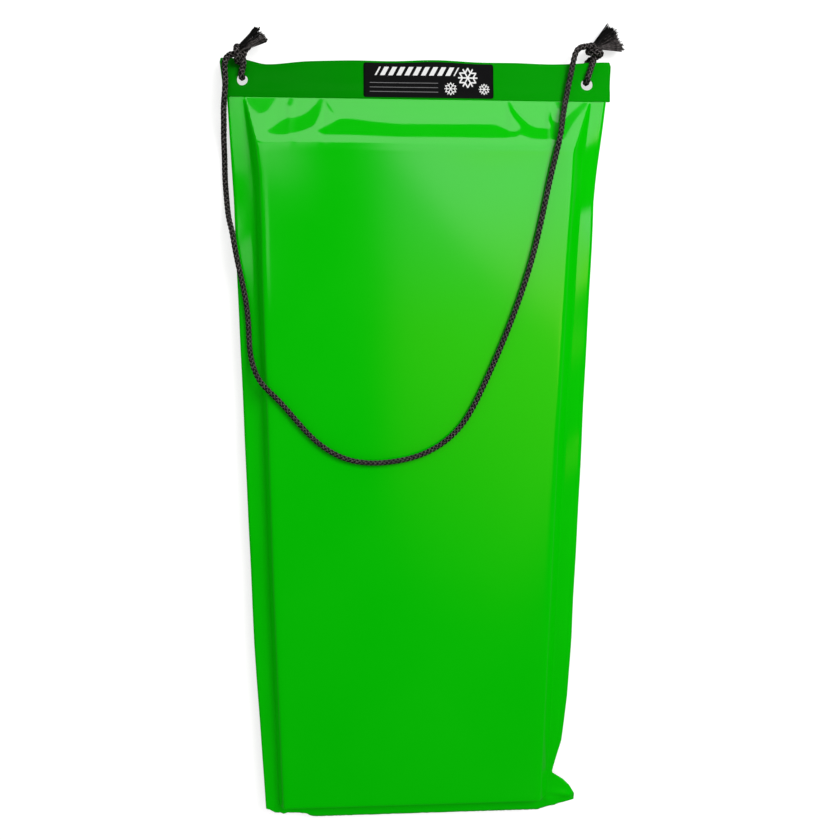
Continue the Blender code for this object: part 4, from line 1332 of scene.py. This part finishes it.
# Thin grey rules: half their spacing, half width, where the first one is, and the field they fill
RULE_SPACING = 0.0028
RULE_WIDTH = 0.0004
RULE_UP = 0.0145
RULES_UP = (-0.0175, 0.0010)
RULES_ACROSS = (-0.0750, 0.0120)
# Snowflakes: place across and up from the sticker's middle, and radius
SNOWFLAKES = ((0.050, 0.004, 0.0125), (0.071, -0.010, 0.0070), (0.028, -0.010, 0.0080))
FLAKE_LINE_SHARE = 0.14
TWIG_FROM_SHARE = 0.55
TWIG_SLANT = math.radians(30.0)


def make_label():
    """A thin sheet with round corners that follows the bent header."""
    low = HEADER_EDGE - LABEL_FROM_EDGE - LABEL_HEIGHT
    across, up = np.meshgrid(np.linspace(-1.0, 1.0, LABEL_COLUMNS + 1), np.linspace(0.0, 1.0, LABEL_ROWS + 1))
    up = (1.0 - np.cos(up * math.pi)) / 2
    y = low + LABEL_HEIGHT * up
    near = np.minimum(y - low, low + LABEL_HEIGHT - y)
    past = np.clip(1.0 - near / LABEL_ROUND, 0.0, 1.0)
    inset = LABEL_ROUND * (1.0 - np.sqrt(1.0 - past ** 2))
    x = LABEL_FROM_CENTRE + across * (LABEL_WIDTH / 2 - inset)
    z = weld_plane(HEADER_MIDDLE, y) + leaf_offset(y) + FILM / 2 + LABEL_THICKNESS
    item = grid_object("printed_sticker", *header_bend(x, y, z))
    thicken(item, LABEL_THICKNESS)
    return item


def make_snowflake_mask():
    """Node group: a plain six-armed snowflake, as a mask."""
    inputs = {"Across": 0.0, "Up": 0.0, "Radius": 0.006, "Line Width": 0.0009}
    tree, given = new_shader_group("snowflake", inputs)
    axes = axes_of(object_place(tree))
    across, up = axes["X"] - given["Across"], axes["Y"] - given["Up"]
    radius = (across ** 2.0 + up ** 2.0).math("SQRT")
    angle = up.math("ARCTAN2", across).math("PINGPONG", math.pi / 6)
    along, aside = radius * angle.math("COSINE"), radius * angle.math("SINE")
    half = given["Line Width"] * 0.5
    past = along - given["Radius"] * TWIG_FROM_SHARE
    lean = past * math.cos(TWIG_SLANT) - aside * math.sin(TWIG_SLANT)
    twig = lean.math("ABSOLUTE").math("LESS_THAN", half)
    lines = aside.math("LESS_THAN", half).math("MAXIMUM", twig)
    mask = lines * radius.math("LESS_THAN", given["Radius"])
    return give_results(tree, {"Mask": ("NodeSocketFloat", mask)})


def add_snowflakes(tree, label_middle):
    """Mask of the three snowflakes."""
    group = make_snowflake_mask()
    mask = 0.0
    for across, up, radius in SNOWFLAKES:
        sizes = {"Across": LABEL_FROM_CENTRE + across, "Up": label_middle + up, "Radius": radius}
        sizes["Line Width"] = radius * FLAKE_LINE_SHARE
        mask = value_from(tree, "ShaderNodeGroup", sizes, node_tree=group).math("MAXIMUM", mask)
    return mask


def make_sticker_material():
    """Black print with slanted white bars, three snowflakes and thin rules."""
    material, tree, shader = new_material("sticker_print")
    label_middle = HEADER_EDGE - LABEL_FROM_EDGE - LABEL_HEIGHT / 2
    axes = axes_of(object_place(tree))
    across, up = axes["X"] - LABEL_FROM_CENTRE, axes["Y"] - label_middle
    slanted = up * BAR_SLANT + across
    bars = slanted.math("PINGPONG", BAR_SPACING).math("LESS_THAN", BAR_WIDTH)
    bars = bars * within(up, BARS_UP, PRINT_EDGE) * within(slanted, BARS_ACROSS, PRINT_EDGE)
    rules = (up + RULE_UP).math("PINGPONG", RULE_SPACING).math("LESS_THAN", RULE_WIDTH)
    rules = rules * within(up, RULES_UP, PRINT_EDGE) * within(across, RULES_ACROSS, PRINT_EDGE)
    white = bars.math("MAXIMUM", add_snowflakes(tree, label_middle))
    set_inputs(shader, {
        "Base Color": mix_colours(white, mix_colours(rules, STICKER_BLACK, STICKER_GREY), STICKER_WHITE),
        "Roughness": STICKER_ROUGHNESS,
        "Specular IOR Level": STICKER_GLOSS,
    })
    return material


label = make_label()
label.data.materials.append(make_sticker_material())
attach(label, "sled")
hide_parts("label")

# Foam core: a slab of closed-cell foam sealed between the films, with eased edges.
FOAM_X = 0.203
FOAM_HEADER_Y = 0.450
FOAM_FOOT_Y = -0.518
FOAM_EASE = 0.0009
FOAM_SPACING = 0.008
FOAM_EDGE_SPACING = 0.0025
FOAM_COLOUR = (0.82, 0.82, 0.80, 1.0)
FOAM_ROUGHNESS = 0.85
FOAM_EDGE = 0.02
CELL_SCALE = 700.0
CELL_STRENGTH = 0.3
CELL_DEPTH = 0.0004


def make_foam_slab():
    """A closed slab that fills the room between the two films, a little eased."""
    half = graded(((0.0, FOAM_SPACING), (FOAM_X - FOAM_EDGE, FOAM_EDGE_SPACING), (FOAM_X, FOAM_EDGE_SPACING)))
    columns = np.concatenate([-half[:0:-1], half])
    rows = graded((
        (FOAM_FOOT_Y, FOAM_EDGE_SPACING),
        (FOAM_FOOT_Y + FOAM_EDGE, FOAM_SPACING),
        (FOAM_HEADER_Y - FOAM_EDGE, FOAM_EDGE_SPACING),
        (FOAM_HEADER_Y, FOAM_EDGE_SPACING),
    ))
    x, y = np.meshgrid(columns, rows)
    slab = grid_object("foam_slab", x, y, bottom_height(x, y) + FOAM_EASE, False)
    tops = (top_height(x, y) - FOAM_EASE).ravel()
    mesh = bmesh.new()
    mesh.from_mesh(slab.data)
    mesh.verts.ensure_lookup_table()
    floor_count = len(mesh.verts)
    lifted = bmesh.ops.extrude_face_region(mesh, geom=mesh.faces[:])
    order = {tuple(vertex.co): vertex.index for vertex in mesh.verts[:floor_count]}
    for vertex in lifted["geom"]:
        if isinstance(vertex, bmesh.types.BMVert):
            vertex.co.z = tops[order[tuple(vertex.co)]]
    bmesh.ops.recalc_face_normals(mesh, faces=mesh.faces[:])
    mesh.to_mesh(slab.data)
    mesh.free()
    return slab


def make_foam_material():
    """Closed-cell foam: matte, with fine cells."""
    material, tree, shader = new_material("closed_cell_foam")
    cells = {"Vector": object_place(tree), "Scale": CELL_SCALE}
    cells = outputs_of(tree, "ShaderNodeTexVoronoi", cells)["Distance"]
    set_inputs(shader, {
        "Base Color": FOAM_COLOUR,
        "Roughness": FOAM_ROUGHNESS,
        "Normal": relief(cells, CELL_STRENGTH, CELL_DEPTH),
    })
    return material


foam = make_foam_slab()
foam.data.materials.append(make_foam_material())
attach(foam, "sled")
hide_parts("foam_core")
